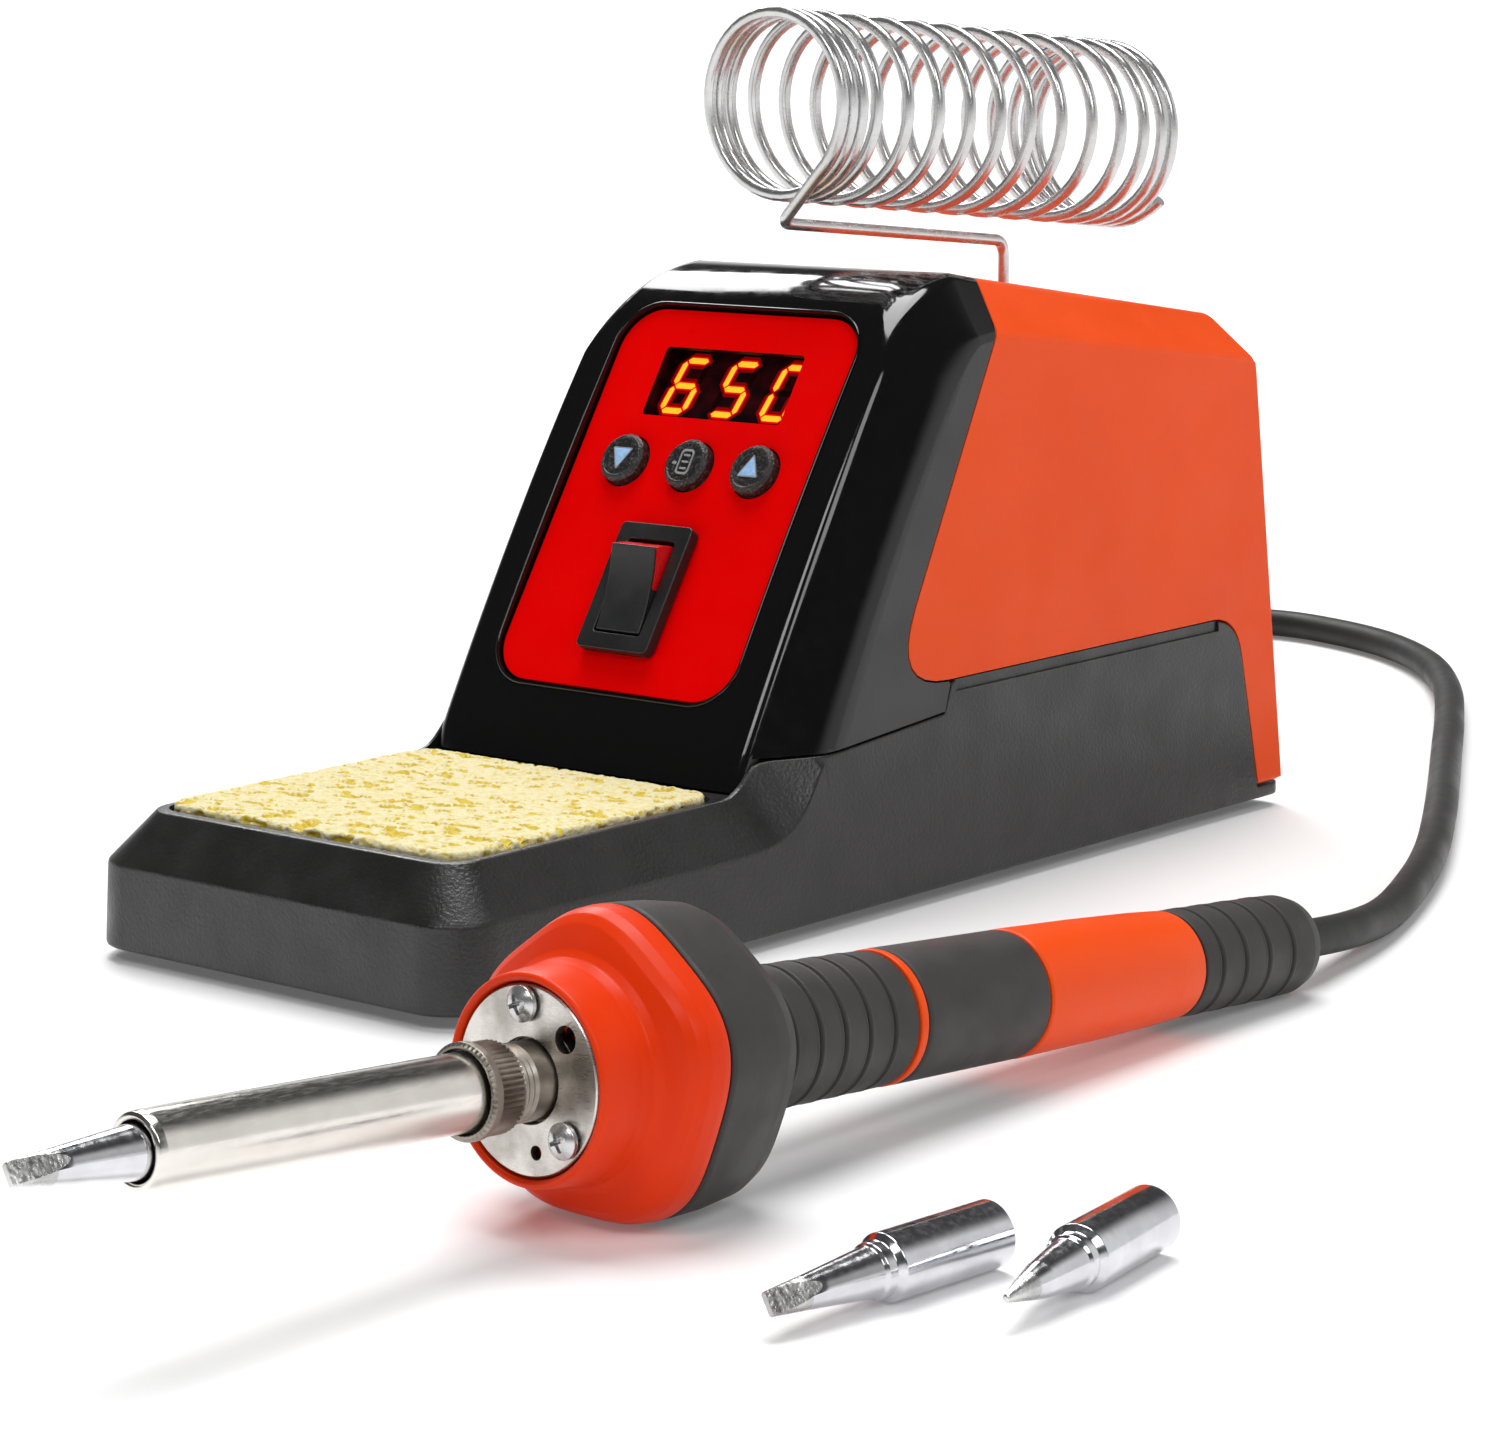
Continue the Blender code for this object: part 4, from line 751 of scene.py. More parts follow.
def make_cover():
    obj = piece("cover", envelope(), "cover_gloss", "station", instead=("front_cover",))
    edge = filleted(HOUSING_LINE)
    edge = offset(edge, [-GAP] * len(edge))
    facing = edge[:12]
    region = [(50, 110), (50, 21.8), (69.6, 21.8), (69.6, SHOULDER[1] + GAP),
        (SHOULDER[0], SHOULDER[1] + GAP), (SEAM_REAR[0], SEAM_REAR[1] + GAP), (107, FENDER_Z - 0.4),
        *reversed(facing), (135.2, 110)]
    cut(obj, slab(region, -50, 50), SIDEWAYS, "INTERSECT")
    cut(obj, envelope(WALL))
    for side in (-1, 1):
        cut(obj, block((side * (TRAY_HALF + 0.1), 50, 0), (side * 45, 76, SHOULDER[1] + 0.35)))
    middle = (0, LABEL_H / 2)
    cut(obj, plate(LABEL_W + 2.2, LABEL_H + 2.2, LABEL_R + 1.1, middle, -1.2, 8), LABEL)
    finish_edges(obj, 0.35, 50, 3)
    cut_openings(obj, (MODULE_W + 0.6, MODULE_H + 0.6, 0.8, (0, MODULE_V)), 5.3, -14, 3)
    finish_edges(obj, 0)
    paint(obj, "cover_side", lambda at, normal: abs(normal.x) > 0.9988)


def make_label():
    obj = piece("label", slab(rounded(LABEL_W, LABEL_H, LABEL_R, (0, LABEL_H / 2), 12), -PANEL, 0),
        "red_label", "station", LABEL, ("label_panel",))
    cut_openings(obj, (WINDOW_W, WINDOW_H, 0.7, (0, WINDOW_V)), BUTTON_R + 0.25, -4, 4)
    finish_edges(obj, 0.16, 50, 3)
    u, v = WINDOW_W / 2 + 0.1, WINDOW_H / 2 + 0.1
    paint(obj, "display_window", lambda at, normal: abs(normal.z) < 0.8 and abs(at.x) < u
        and abs(at.y - WINDOW_V) < v, LABEL)


def cover_height(v):
    """How far the cover stands above the label's plane, at height v on the label."""
    return 1.18 - 0.9 * ((v - 36) / 36) ** 2


def make_trim():
    """The thin lip of the pocket round the label."""
    share = [k / 10 for k in range(10)]
    rings = []
    for grow, drop in ((2.1, 1.9), (2.1, 0.3), (1.95, 0.08), (1.6, 0), (1.2, 0.08), (1.05, 0.3),
            (1.05, 1.9)):
        coarse = rounded(LABEL_W + grow, LABEL_H + grow, LABEL_R + grow / 2, (0, LABEL_H / 2), 10)
        fine = [Vector(a).lerp(Vector(b), t) for a, b in zip(coarse, coarse[1:] + coarse[:1])
            for t in (share if (Vector(b) - Vector(a)).length > 10 else (0,))]
        rings.append([Vector((p.x, p.y, cover_height(p.y) + 0.32 - drop)) for p in fine])
    piece("label_trim", ring_loft(bmesh.new(), rings, loop=True), "cover_gloss", "station", LABEL,
        smooth=50)


# ---- display ----
DIGIT_W, DIGIT_H, DIGIT_PITCH, STROKE, SLANT = 5.5, 9.7, 10.15, 0.95, 0.18
DIGIT_U, DIGIT_V = -0.2, 52.2
DISPLAY_FLOOR = -3.1
SEGMENTS = {"top": (0, 1, "across"), "middle": (0, 0, "across"), "bottom": (0, -1, "across"),
    "upper_left": (-1, 0.5, "up"), "upper_right": (1, 0.5, "up"), "lower_left": (-1, -0.5, "up"),
    "lower_right": (1, -0.5, "up")}
DIGITS = {"6": set(SEGMENTS) - {"upper_right"}, "5": set(SEGMENTS) - {"upper_right", "lower_left"},
    "0": set(SEGMENTS) - {"middle"}}
# layers of a lit and of an unlit segment: ending of the name, look, growth, low, high, rounding
LAYERS = {True: (("_haze", "display_haze", 0.85, 0.02, 0.05, 0),
    ("_glow", "display_halo", 0.3, 0.06, 0.09, 0), ("", "display_lit", 0, 0.1, 0.18, 0.04)),
    # an unlit segment carries a faint painted glow
    False: (("", "display_unlit", 0, 0.01, 0.05, 0),)}


def segment(column, row, direction, grow=0):
    """The slanted six-sided outline of one segment of a digit centred on the origin."""
    u, v = column * (DIGIT_W - STROKE) / 2, row * (DIGIT_H - STROKE) / 2
    reach = ((DIGIT_W - STROKE) if direction == "across" else (DIGIT_H - STROKE) / 2) / 2 - 0.24 + grow
    half = STROKE / 2 + grow
    ends = [(-reach, 0), (-reach + half, -half), (reach - half, -half), (reach, 0), (reach - half, half),
        (-reach + half, half)]
    if direction == "up":
        ends = [(-b, a) for a, b in ends]
    return [(u + a + SLANT * (v + b), v + b) for a, b in ends]


def make_display():
    tray = piece("display_frame", plate(MODULE_W, MODULE_H, 0.5, (0, MODULE_V), -9, -1.2),
        "display_window", "station", LABEL, ("display_module",))
    cut(tray, plate(MODULE_W - 0.6, MODULE_H - 0.6, 0.4, (0, MODULE_V), DISPLAY_FLOOR, 2), LABEL)
    finish_edges(tray, 0.12, 50, 2)
    for place, digit in zip((-1, 0, 1), "650"):
        at = LABEL @ shift(DIGIT_U + place * DIGIT_PITCH, DIGIT_V)
        for name, shape in SEGMENTS.items():
            for layer, look, grow, low, high, edge in LAYERS[name in DIGITS[digit]]:
                work = slab(segment(*shape, grow), DISPLAY_FLOOR + low, DISPLAY_FLOOR + high, edge, 1)
                piece(f"digit_{place + 2}_{name}{layer}", work, look, "station", at)


# ---- buttons and switch ----
def outline_ring(outline, inner, low, high):
    """A flat ring between an outline and a smaller copy of it."""
    work = bmesh.new()
    loops = [[(*p, low) for p in outline], [(*p, high) for p in outline], [(*p, high) for p in inner],
        [(*p, low) for p in inner]]
    return ring_loft(work, [[Vector(p) for p in loop] for loop in loops], loop=True)


def scaled(outline, share):
    middle = sum((Vector(p) for p in outline), Vector((0, 0))) / len(outline)
    return [tuple(middle + (Vector(p) - middle) * share) for p in outline]


def triangle(size, sign):
    corners = [(0, 0.56 * size * sign, 0.18), (-0.5 * size, -0.38 * size * sign, 0.18),
        (0.5 * size, -0.38 * size * sign, 0.18)]
    return filleted(corners, 3)


def make_buttons():
    profile = [(-10.6, 0), (-10.6, 1.8), (-3, 1.8), (-2.6, BUTTON_R), (BUTTON_TOP - 0.65, BUTTON_R),
        (BUTTON_TOP - 0.05, BUTTON_R - 0.55), (BUTTON_TOP, BUTTON_R - 0.75),
        (BUTTON_TOP - 0.15, BUTTON_R - 0.95), (BUTTON_TOP - 0.15, 0)]
    face = BUTTON_TOP - 0.17
    for name, k in (("down", -1), ("preset", 0), ("up", 1)):
        at = LABEL @ shift(k * BUTTON_PITCH, BUTTON_V)
        body = f"button_{name}"
        piece(f"cap_{name}", spun(profile, 72, soft=0.12), "button_rubber", body, at, (body,))
        if k:
            shape = triangle(3.5, k)
            rim = outline_ring(scaled(shape, 1.16), scaled(shape, 1.03), face, face + 0.1)
            marks = [("", slab(shape, face, face + 0.12, 0.05, 2), "icon_blue"), ("_rim", rim, "icon_rim")]
            marks = [(f"mark{part}_{name}", work, look) for part, work, look in marks]
        else:
            screen = rounded(2.5, 4.2, 0.7, (0.2, 0))
            bars = [(f"_{int(10 * row) + 11}", rounded(1.3, 0.32, 0.12, (0.2, row)))
                    for row in (-1.1, 0, 1.1)]
            bars.append(("_tab", rounded(0.8, 0.45, 0.15, (-1.8, -0.3))))
            rim = outline_ring(screen, scaled(screen, 0.84), face, face + 0.22)
            marks = [("mark_preset", rim, "icon_rim")]
            marks += [("mark_preset" + part, slab(bar, face, face + 0.22, 0.06, 2), "icon_rim")
                      for part, bar in bars]
        for mark, work, look in marks:
            piece(mark, work, look, body, at)


def make_switch():
    bezel = piece("switch_bezel", plate(SWITCH_W, SWITCH_H, 1, (0, SWITCH_V), 0.3, 2.2), "switch_black",
        "station", LABEL, ("switch_body",))
    cut(bezel, plate(WELL_W, WELL_H, 0.5, (0, SWITCH_V), -9, 6), LABEL)
    finish_edges(bezel, 0.22, 50, 3)
    well = plate(OPENING_W - 0.6, OPENING_H - 0.6, 0.6, (0, SWITCH_V), -14, 0.28)
    case = piece("switch_case", well, "rocker_black", "station", LABEL)
    cut(case, plate(WELL_W + 0.2, WELL_H + 0.2, 0.5, (0, SWITCH_V), -8.5, 6), LABEL)
    for k in (-1, 1):
        blade = slab(rounded(4.8, 0.8, 0.1, (0, SWITCH_V + 3.6 * k), 2), -20, -13.9)
        piece(f"switch_blade_{k + 2}", blade, "bright_zinc", "station", LABEL)
    make_rocker(LABEL @ shift(0, SWITCH_V, PIVOT_H) @ Matrix.Rotation(ROCKER_TILT, 4, "X") @ SIDEWAYS)


def make_rocker(pivot):
    """A drum with a dished face under a black face: red in its upper half, and black below as painted shade for
    the part that sits in the shade of the well.
    """
    start, sweep, steps = radians(-20), radians(47), 12
    end = [(ROCKER_R * cos(start + sweep * i / steps), ROCKER_R * sin(start + sweep * i / steps))
        for i in range(steps + 1)]
    top_u, top_w = end[-1]
    dish = [(u, top_w - 0.65 * (1 - (u / top_u) ** 2))
            for u in (top_u * (1 - k / 8) for k in range(1, 16))]
    half = ROCKER_W / 2
    split = (0.4, -0.6)
    upper = end + [p for p in dish if p[0] > split[0]] + [(split[0], top_w - 0.65), (split[1], end[0][1])]
    lower = [(-u, w) for u, w in end][::-1]
    lower = [(split[1] - 0.02, end[0][1]), (split[0] - 0.02, top_w - 0.65),
        *[p for p in dish if p[0] < split[0] - 0.1], *lower]
    body = piece("rocker_body", slab(upper, -half + 0.05, half - 0.05), "rocker_red", "rocker", pivot,
        ("switch_rocker",))
    finish_edges(body, 0.12, 50, 2)
    # The black lower half is painted shade: the red drum's lower half sits in the shade of the well.
    heel = piece("rocker_heel_painted_shade", slab(lower, -half + 0.05, half - 0.05), "rocker_black", "rocker", pivot)
    finish_edges(heel, 0.12, 50, 2)
    skin = [(top_u, top_w), *dish, (-top_u, top_w)]
    face = [(u * 1.005, w + 0.6) for u, w in skin]
    cap = slab(face + list(reversed([(u * 1.005, w + 0.02) for u, w in skin])), -half, half)
    face = piece("rocker_face", cap, "rocker_black", "rocker", pivot)
    finish_edges(face, 0.22, 50, 3)


make_housing()
make_cover()
make_label()
make_trim()
make_display()
make_buttons()
make_switch()


# ---- glands, feet and underside ----
def under_node(node):
    """A frame on the bench below the middle of a node's box."""
    middle = node_box(node)[2]
    return shift(middle.x, middle.y)


def make_glands():
    cord_tail = [(2.4, 6.2), (3.2, 4.8), (6, 4.35), (6.5, 3.9), (7, 4.3), (8.6, 4.1), (9, 3.7), (9.5, 4),
        (10.6, 3.9), (10.6, 3.1)]
    for node, tail in (("mains_gland", [(2.6, 6.2), (2.6, 3.1)]), ("iron_cord_gland", cord_tail)):
        _, high, middle = node_box(node)
        place = shift(middle.x, high.y - tail[-1][0], middle.z) @ REARWARD
        profile = [(-5.4, 3.1), (-5.4, 6.4), (-3.6, 6.4), (-3.6, 4.9), (0.6, 4.9), (0.6, 6.6), *tail]
        turned(node + "_moulding", profile, "rubber", "station", place, node, 72, soft=0.3)


def make_underside():
    foot = [(0, 0), (0, 4.4), (0.5, 5), (1.9, 5), (1.9, 0)]
    screw = [(2.3, 0), (2.3, 2.6), (3, 2.6), (3.05, 1.2), (9.4, 1.2), (9.7, 0)]
    for corner in ("fl", "fr", "rl", "rr"):
        pad, bolt = f"foot_{corner}", f"case_screw_{corner}"
        turned(pad + "_pad", foot, "rubber", "station", under_node(pad), pad, 64, soft=0.3)
        place = under_node(bolt)
        head = turned(f"screw_{corner}", screw, "bright_zinc", "station", place, bolt, 48)
        for turn in (0.3, 0.3 + pi / 2):
            cut(head, plate(3.4, 0.7, 0.1, (0, 0), 1, 2.75), place @ Matrix.Rotation(turn, 4, "Z"))
    socket = [(73, 0), (73, 1.3), (86.2, 1.3), (86.4, 1.6), (86.4, 2.6), (86.1, 2.9), (70, 2.9), (70, 0)]
    place = under_node("holder_socket")
    turned("socket_tube", socket, "bright_zinc", "station", place, "holder_socket", 64)


# ---- coil rest ----
WIRE_R = 0.95
COIL_TURNS = [110.6, 112.8, 115, 117.9, 125.3, 132.8, 140.4, 148.1, 155.9, 163.9, 171.9, 180, 186.4, 191.6,
    194.5, 198]
COIL_SLOPE, COIL_Z0, COIL_LEAVE = -0.098, 118.4, radians(-47)
COIL_R_FRONT, COIL_R_REAR = 13.9, 14.8
POST_Y = to_bench(joints["coil_rest_swivel"]["pos_m"]).y


def coil_path():
    """The wire from its rear end along the turns, then down the arm to its foot in the socket."""
    per_turn = 44
    turns = len(COIL_TURNS) - 1
    found = []
    for i in range(turns * per_turn, -1, -1):
        t = i / per_turn
        k = min(int(t), turns - 1)
        y = COIL_TURNS[k] + (COIL_TURNS[k + 1] - COIL_TURNS[k]) * (t - k)
        radius = COIL_R_FRONT + (COIL_R_REAR - COIL_R_FRONT) * t / turns
        a = COIL_LEAVE + 2 * pi * t
        z = COIL_Z0 + COIL_SLOPE * (y - COIL_TURNS[0])
        found.append(Vector((radius * cos(a), y, z + radius * sin(a))))
    bend, corner, foot = (Vector((0, 112.6, 100)), Vector((0, POST_Y, 93.9)), Vector((0, POST_Y, 74)))
    tail = soften([found[-1], bend, corner, foot], [0, 2.4, 2.6, 0], 10, closed=False)
    return found + tail[1:]


def make_coil():
    piece("coil_wire", tube(coil_path(), WIRE_R, 16), "bright_zinc", "coil_rest", instead=("holder_coil",),
        smooth=60)


# ---- sponge ----
def sponge_pit(p):
    """How deep the sponge is pitted at p, in mm: long pits across its width, and fine ones."""
    broad = noise.noise(Vector((p.x * 0.34, p.y * 0.85, p.z * 0.7)))
    fine = noise.noise(Vector((p.x, p.y * 1.7, p.z * 1.3)) + Vector((7, 3, 1)))
    return 0.8 * min(1, max(0, (broad - 0.27) / 0.1)) + 0.45 * min(1, max(0, (fine - 0.36) / 0.12))


def make_sponge():
    low, high, middle = node_box("sponge")
    size = high - low
    work = plate(size.x - 0.6, size.y - 0.6, 4, (middle.x, middle.y), low.z + 0.2, high.z - 0.2, 0.5, 2)
    obj = piece("sponge_block", work, "cellulose", "sponge", instead=("sponge",))
    remesh = obj.modifiers.new("voxels", "REMESH")
    remesh.mode, remesh.voxel_size = "VOXEL", 0.42 * MM
    bake(obj)
    turn = BENCH.inverted()
    normals = [v.normal.copy() for v in obj.data.vertices]
    depths = [sponge_pit(turn @ v.co) for v in obj.data.vertices]
    for vertex, normal, depth in zip(obj.data.vertices, normals, depths):
        p = turn @ vertex.co
        ripple = 0.17 * noise.noise(p * 2.3) + 0.1 * noise.noise(p * 0.9)
        vertex.co += normal * ((ripple - depth) * MM)
    obj.data.materials.clear()
    for name in ("cellulose", "cellulose_pit"):
        obj.data.materials.append(FINISH[name])
    # Faces deep in the pits take cellulose_pit, the darker yellow: painted shade in the pits.
    for face in obj.data.polygons:
        if sum(depths[i] for i in face.vertices) / len(face.vertices) > 0.22:
            face.material_index = 1
    obj.data.shade_smooth()


make_glands()
make_underside()
make_coil()
make_sponge()


# ---- iron ----
TIP_END, TIN_LENGTH = 72.3, 5.2
SCREW_HOLE_R, GRIP_BORE = 1.35, 6.9
SCREWS = {"top": (8.7, 94), "side": (8.6, -41)}
PLATE_HOLES = ((8, 44, 1.6), (8.1, -77, 0.85), (8.6, 224, 1))


def five_sided(angle, along, radius):
    """Rounded five-sided outline, flat side down, for the guard that keeps the iron from rolling."""
    share = min(1, max(0, (radius - 13.5) / 3))
    return radius * (1 + 0.035 * share * cos(5 * (angle + radians(54))))


def knurled(angle, along, radius):
    """Straight knurling on the waist of the nut."""
    if not 5.15 < radius < 5.45:
        return radius
    tooth = abs((angle / (2 * pi) * 48) % 1 - 0.5) * 2
    return radius - 0.38 * tooth


def grooved(start, end, r_start, r_end, grooves, depth, half):
    """Grooves with a slightly raised lip on each side."""
    shape = ((1.5, 0), (0.75, 0.1), (0.3, -0.5 * depth), (0, -depth))
    shape += tuple((-share, rise) for share, rise in reversed(shape[:-1]))
    found = []
    for s in grooves:
        r = r_start + (r_end - r_start) * (s - start) / (end - start)
        found += [(s + share * half, r + rise) for share, rise in shape]
    return found


def around(radius, degrees):
    a = radians(degrees)
    return IRON @ shift(radius * cos(a), radius * sin(a))


CHISEL_TURN = radians(-58)


def grind_chisel(tip, place, end):
    """Grinds the two flats of a chisel tip; end is where it ends along place's Z axis."""
    across = place @ Matrix.Rotation(CHISEL_TURN, 4, "Z") @ Matrix.Rotation(-pi / 2, 4, "Y")
    for sign in (-1, 1):
        flat = [(end + 1, sign * 0.1), (end - 7.5, sign * 2.25), (end - 7.5, sign * 6),
                (end + 1, sign * 6)]
        cut(tip, slab(flat, -8, 8), across)
    finish_edges(tip, 0.12, 30, 2)


def iron_part(name, node, mat, profile, body="iron", sides=96, shape=None, soft=0.15, smooth=32):
    """A turned piece round the iron's axis, its profile from the plate towards the tip."""
    return turned(name, profile, mat, body, IRON, node, sides, shape, soft, smooth)


def make_iron_front():
    iron_part("barrel_tube", "barrel", "steel", [(56.2, 3.3), (56.4, 3.7), (56.1, 4.1), (55.2, 4.25),
        (7.1, 4.5), (7.1, 4.1), (54.6, 3.95), (55.3, 3.3)], "barrel", soft=0.25)
    tip = iron_part("tip_point", "tip", "tip_plating", [(TIP_END, 0), (TIP_END, 1.25), (TIP_END - 5, 1.83),
        (TIP_END - 6.9, 2.05), (57, 2.95), (55, 3), (54.6, 3), (54.2, 3.6), (36, 3.6), (36, 2.65),
        (52, 2.65), (53, 0)], "barrel", 72, soft=0.3)
    grind_chisel(tip, IRON, TIP_END)
    paint(tip, "tin", lambda at, normal: at.z > TIP_END - TIN_LENGTH, IRON)
    iron_part("heater_rod", "heater", "dark_steel", [(51.4, 0), (51.4, 1.9), (51, 2.3), (-12, 2.3),
        (-12, 0)], sides=48)
    iron_part("nut_knurled", "barrel_nut", "dark_steel", [(10.3, 4.85), (10.3, 5.15), (9.9, 5.55),
        (9, 5.55), (8.75, 5.3), (5.3, 5.3), (5.1, 5.12), (5.1, 4.85)], "nut", 288, knurled, 0.1, 24)
    threads = [(4.9 - 0.4 * k, 4.55 if k % 2 == 0 else 4.22) for k in range(7)]
    iron_part("collar_thread", "thread_collar", "dark_steel", [
        (6.8, 3), (6.8, 4.4), *threads, (2.2, 4.55), (-1.5, 4.55), (-1.5, 6.4), (-3.2, 6.4), (-3.2, 3)],
        sides=72, soft=0.06)
    flange = iron_part("plate_disc", "flange_plate", "plate_steel",
        [(0, 4.9), (0, 10.7), (-0.2, 10.9), (-1.2, 10.9), (-1.2, 4.9)], soft=0.12)
    for radius, degrees, hole_r in PLATE_HOLES:
        cut(flange, disc(hole_r, -3, 3, 32), around(radius, degrees))
    for name, (radius, degrees) in SCREWS.items():
        cut(flange, disc(SCREW_HOLE_R, -3, 3, 32), around(radius, degrees))
    finish_edges(flange, 0.1, 50, 2)


def make_iron_screws():
    dome = [(1.75 - 0.85 * (k / 8) ** 2.2, 2.1 * k / 8) for k in range(9)]
    profile = dome + [(0.3, 2.1), (0.3, 1), (-7.6, 1), (-8.1, 0)]
    for name, (radius, degrees) in SCREWS.items():
        place = around(radius, degrees)
        head = turned(f"screw_{name}", profile, "bright_zinc", "iron", place, f"flange_screw_{name}", 48,
            soft=0.12)
        for turn in (0.4, 0.4 + pi / 2):
            spin = place @ Matrix.Rotation(turn, 4, "Z")
            cut(head, plate(2.5, 0.52, 0.15, (0, 0), 0.75, 3), spin)
            cut(head, plate(0.95, 0.95, 0.2, (0, 0), 0.6, 3), spin @ Matrix.Rotation(0.785, 4, "Z"))
        finish_edges(head, 0.05, 50, 2)


def make_nose():
    # The nose takes orange_grip, the darker, redder copy of the orange: painted shade.
    flared = iron_part("nose_moulding", "nose_flange", "orange_grip",
        [(-1.6, GRIP_BORE), (-1.6, 11.1), (0.1, 11.2), (0.45, 11.7), (0.1, 12.2), (-3, 12.5),
        (-5.4, 12.65), (-6.9, 13), (-7.7, 13.9), (-8.1, 15.2), (-8.5, 16.3), (-9.4, 17.3), (-10.8, 17.85),
        (-12.6, 18), (-13.9, 18), (-13.9, GRIP_BORE)],
        sides=160, shape=five_sided, soft=0.8, smooth=50)
    for name, (radius, degrees) in SCREWS.items():
        cut(flared, disc(SCREW_HOLE_R, -8.5, -1, 32), around(radius, degrees))
    for radius, degrees, hole_r in PLATE_HOLES:
        cut(flared, disc(hole_r, -6.5, -1, 32), around(radius, degrees))
        # The walls and floors of the holes are painted black: painted shade in the holes.
        paint(flared, "rocker_black", lambda at, normal: hypot(at.x, at.y) < hole_r + 0.02
              and -6.6 < at.z < -1.7, around(radius, degrees))
    flared.data.set_sharp_from_angle(angle=radians(50))


def make_handle():
    iron_part("guard_ring", "guard", "rubber", [(-14.2, GRIP_BORE), (-14.2, 17.75), (-14.7, 18),
        (-19.5, 17.75), (-24.5, 17.1), (-26.6, 16.3), (-27.9, 14.9), (-28.5, 12.5), (-28.5, GRIP_BORE)],
        "iron", 160, five_sided, 0.7, 50)
    iron_part("grip_sleeve", "grip_front", "rubber", [(-28.8, GRIP_BORE), (-28.8, 9.6), (-30, 8.95),
        *grooved(-30, -58.6, 8.75, 8.35, (-35.6, -40.2, -44.7, -49.2, -53.9), 0.7, 0.55), (-58.2, 8.35),
        (-58.6, 8.1), (-58.6, GRIP_BORE)], soft=0.3, smooth=50)
    iron_part("grip_sleeve_mid", "grip_mid", "rubber", [(-60.5, GRIP_BORE), (-60.5, 8.2), (-60.9, 8.45),
        (-84, 8.25), (-84.4, 8.05), (-84.4, GRIP_BORE)], soft=0.4, smooth=50)
    body = iron_part("handle_body", "handle_core", "orange_abs",
        [(-3.6, 0), (-3.6, 6), (-4, 6.5), (-58.9, 6.5), (-58.9, 8.45), (-60.2, 8.45), (-60.2, 6.5),
        (-84.7, 6.5), (-84.7, 8.1), (-85.1, 8.3), (-100, 8), (-112, 7.6), (-118.4, 7.25), (-118.8, 7),
        (-118.8, 4.9), (-146, 4.9), (-146, 3.1), (-130, 3.1), (-130, 0)], soft=0.3, smooth=50)
    cut(body, disc(2.7, -13, -2, 48), IRON)
    body.data.set_sharp_from_angle(angle=radians(50))
    iron_part("relief_sleeve", "strain_relief", "rubber", [(-119.1, 5.2), (-119.1, 7.2),
        *grooved(-119.4, -146, 7.2, 6.9, (-122.6, -127.9, -133.3, -139), 0.9, 0.6), (-144.2, 6.85),
        (-146.2, 6.3), (-147.6, 5.2), (-148.3, 4), (-148.3, 3.1), (-146.3, 3.1), (-146.3, 5.2)], soft=0.3,
        smooth=50)


# ---- spare tips ----
def make_spare(node, body, end, yaw, length, point_r, chisel):
    place = shift(*end) @ Matrix.Rotation(yaw, 4, "Z") @ Matrix.Rotation(pi / 2, 4, "X")
    back, neck = -length, -length + 17.6
    profile = [(0, 0), (0, point_r), (-0.3, point_r + 0.15), (-5, point_r + (2.05 - point_r) * 0.72),
        (-7.2, 2.05), (neck + 1.6, 2.85), (neck + 1.2, 3.15), (neck, 3.15), (neck - 0.7, 3.85),
        (back + 0.3, 3.85), (back, 3.6), (back, 2.65), (neck - 3, 2.65), (neck - 4, 0)]
    obj = turned(node + "_fine", profile, "tip_plating", body, place, node, 72, soft=0.25)
    if chisel:
        grind_chisel(obj, place, 0)
    paint(obj, "tin", lambda at, normal: at.z > -5.3, place)


make_iron_front()
make_iron_screws()
make_nose()
make_handle()
make_spare("spare_tip_chisel", "chisel_tip", (150.3, -66.4, 3.9), radians(-5.3), 33.9, 1.25, True)
make_spare("spare_tip_conical", "conical_tip", (168.5, -49.6, 3.9), radians(8.5), 32.6, 0.35, False)


# ---- floor and light ----
FLOOR_HALF = 30
WALL_LIGHT, ROOM_LIGHT = 0.75, 0.06


def lamp(name, kind, at, toward, energy, **settings):
    """A light at a place in metres that shines toward another."""
    data = bpy.data.lights.new(name, kind)
    data.energy = energy
    for key, value in settings.items():
        setattr(data, key, value)
    obj = add_object(name, data)
    obj.location = at
    obj.rotation_euler = (Vector(toward) - Vector(at)).to_track_quat("-Z", "Y").to_euler()


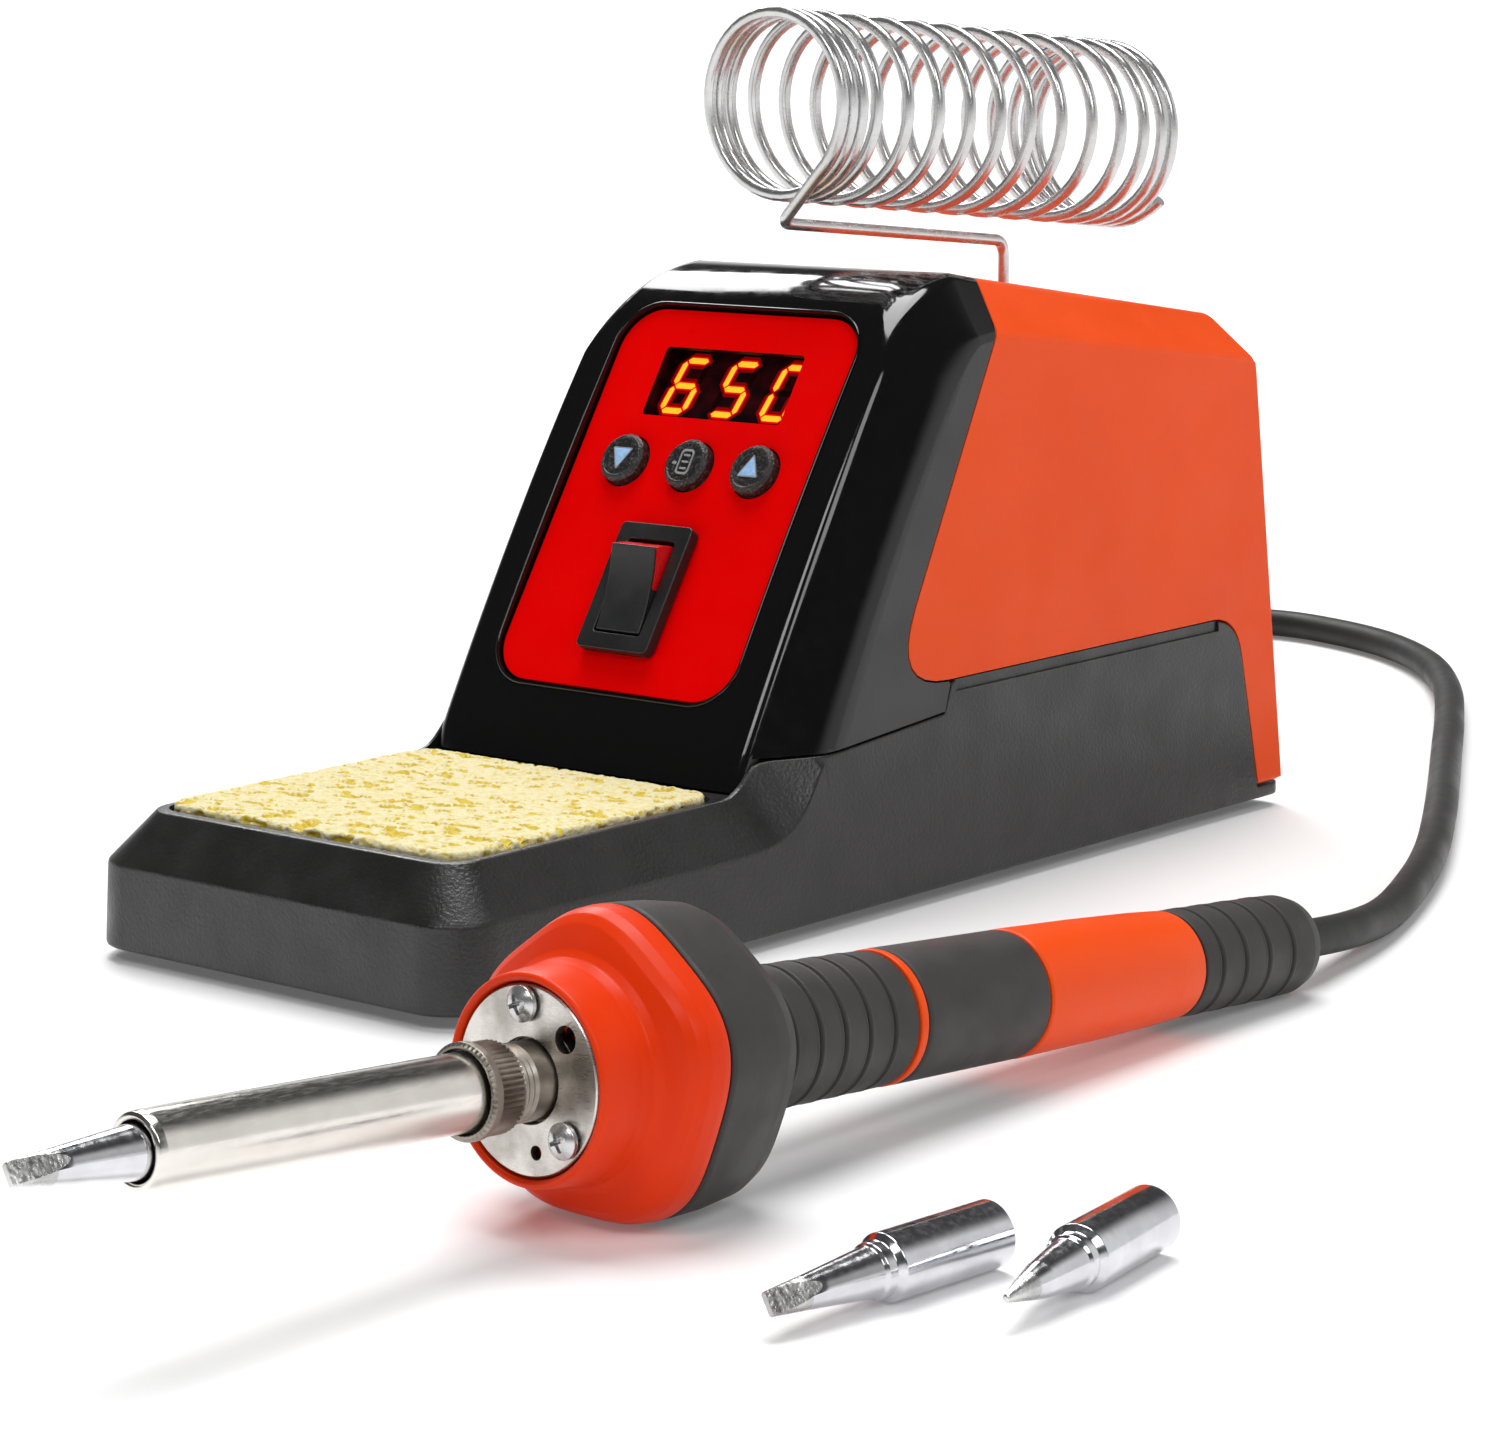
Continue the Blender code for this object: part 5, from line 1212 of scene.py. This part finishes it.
def light_world(tree):
    """A dark room with a pale strip along the horizon and one pale wall behind the object."""
    def add(kind, links, **values):
        return add_node(tree, kind, links, **values).outputs[0]

    coords = tree.nodes.new("ShaderNodeTexCoord")
    axes = tree.nodes.new("ShaderNodeSeparateXYZ")
    tree.links.new(coords.outputs["Generated"], axes.inputs["Vector"])
    ramps = (("X", -0.1, 0.35, 0, 1), ("Y", 0.25, 0.6, 0, 1), ("Z", 0.45, 0.75, 1, 0),
             ("Z", 0.10, 0.27, 1, 0))
    x, y, high, low = (
        add("ShaderNodeMapRange", {"Value": axes.outputs[axis], "From Min": start, "From Max": end,
                                   "To Min": first, "To Max": last}, interpolation_type="SMOOTHSTEP")
        for axis, start, end, first, last in ramps)
    corner = add("ShaderNodeMath", {0: x, 1: y}, operation="MULTIPLY")
    wall = add("ShaderNodeMath", {0: corner, 1: high}, operation="MULTIPLY")
    pale = add("ShaderNodeMath", {0: wall, 1: low}, operation="MAXIMUM")
    total = add("ShaderNodeMath", {0: pale, 1: WALL_LIGHT, 2: ROOM_LIGHT}, operation="MULTIPLY_ADD")
    tree.links.new(total, tree.nodes["Background"].inputs["Strength"])
    tree.nodes["Background"].inputs["Color"].default_value = (1, 1, 1, 1)


def make_set():
    floor = Finish("floor", (0.86, 0.86, 0.86), 0.7, specular=0.1, Emission_Color=(1, 1, 1, 1))
    # The floor glows, weaker close to the station (0.10 within 0.25 m) and stronger far off (0.36 at 1.6 m): the
    # far floor is kept pale, and the floor round the station is darkened as painted shade.
    distance = floor.node("ShaderNodeVectorMath", {0: floor.place()}, operation="LENGTH")
    floor.vary("Emission Strength", distance.outputs["Value"], 0.10, 0.36, 0.25, 1.6)
    mesh = bpy.data.meshes.new("floor")
    mesh.from_pydata([(-FLOOR_HALF, -FLOOR_HALF, 0), (FLOOR_HALF, -FLOOR_HALF, 0),
        (FLOOR_HALF, FLOOR_HALF, 0), (-FLOOR_HALF, FLOOR_HALF, 0)], [], [(0, 1, 2, 3)])
    mesh.materials.append(floor.material)
    add_object("floor", mesh)
    world = bpy.data.worlds.new("studio")
    world.use_nodes = True
    light_world(world.node_tree)
    scene.world = world
    lamp("overhead", "SUN", (0, 0, 0), (0.16, -0.22, -1), 2.5, angle=radians(36))
    for name, at, size, size_y, power in (
            ("back_left", (-0.95, 0.6, 0.85), 0.55, 0.45, 7),
            ("front_top", (0.27, -0.95, 1.05), 0.45, 0.35, 3.5),
            ("right_top", (1, -0.35, 0.9), 0.5, 0.5, 4)):
        lamp(name, "AREA", at, (0, 0, 0.06), power, shape="RECTANGLE", size=size, size_y=size_y)
    scene.view_settings.view_transform = "Standard"
    scene.view_settings.look = "None"


make_set()
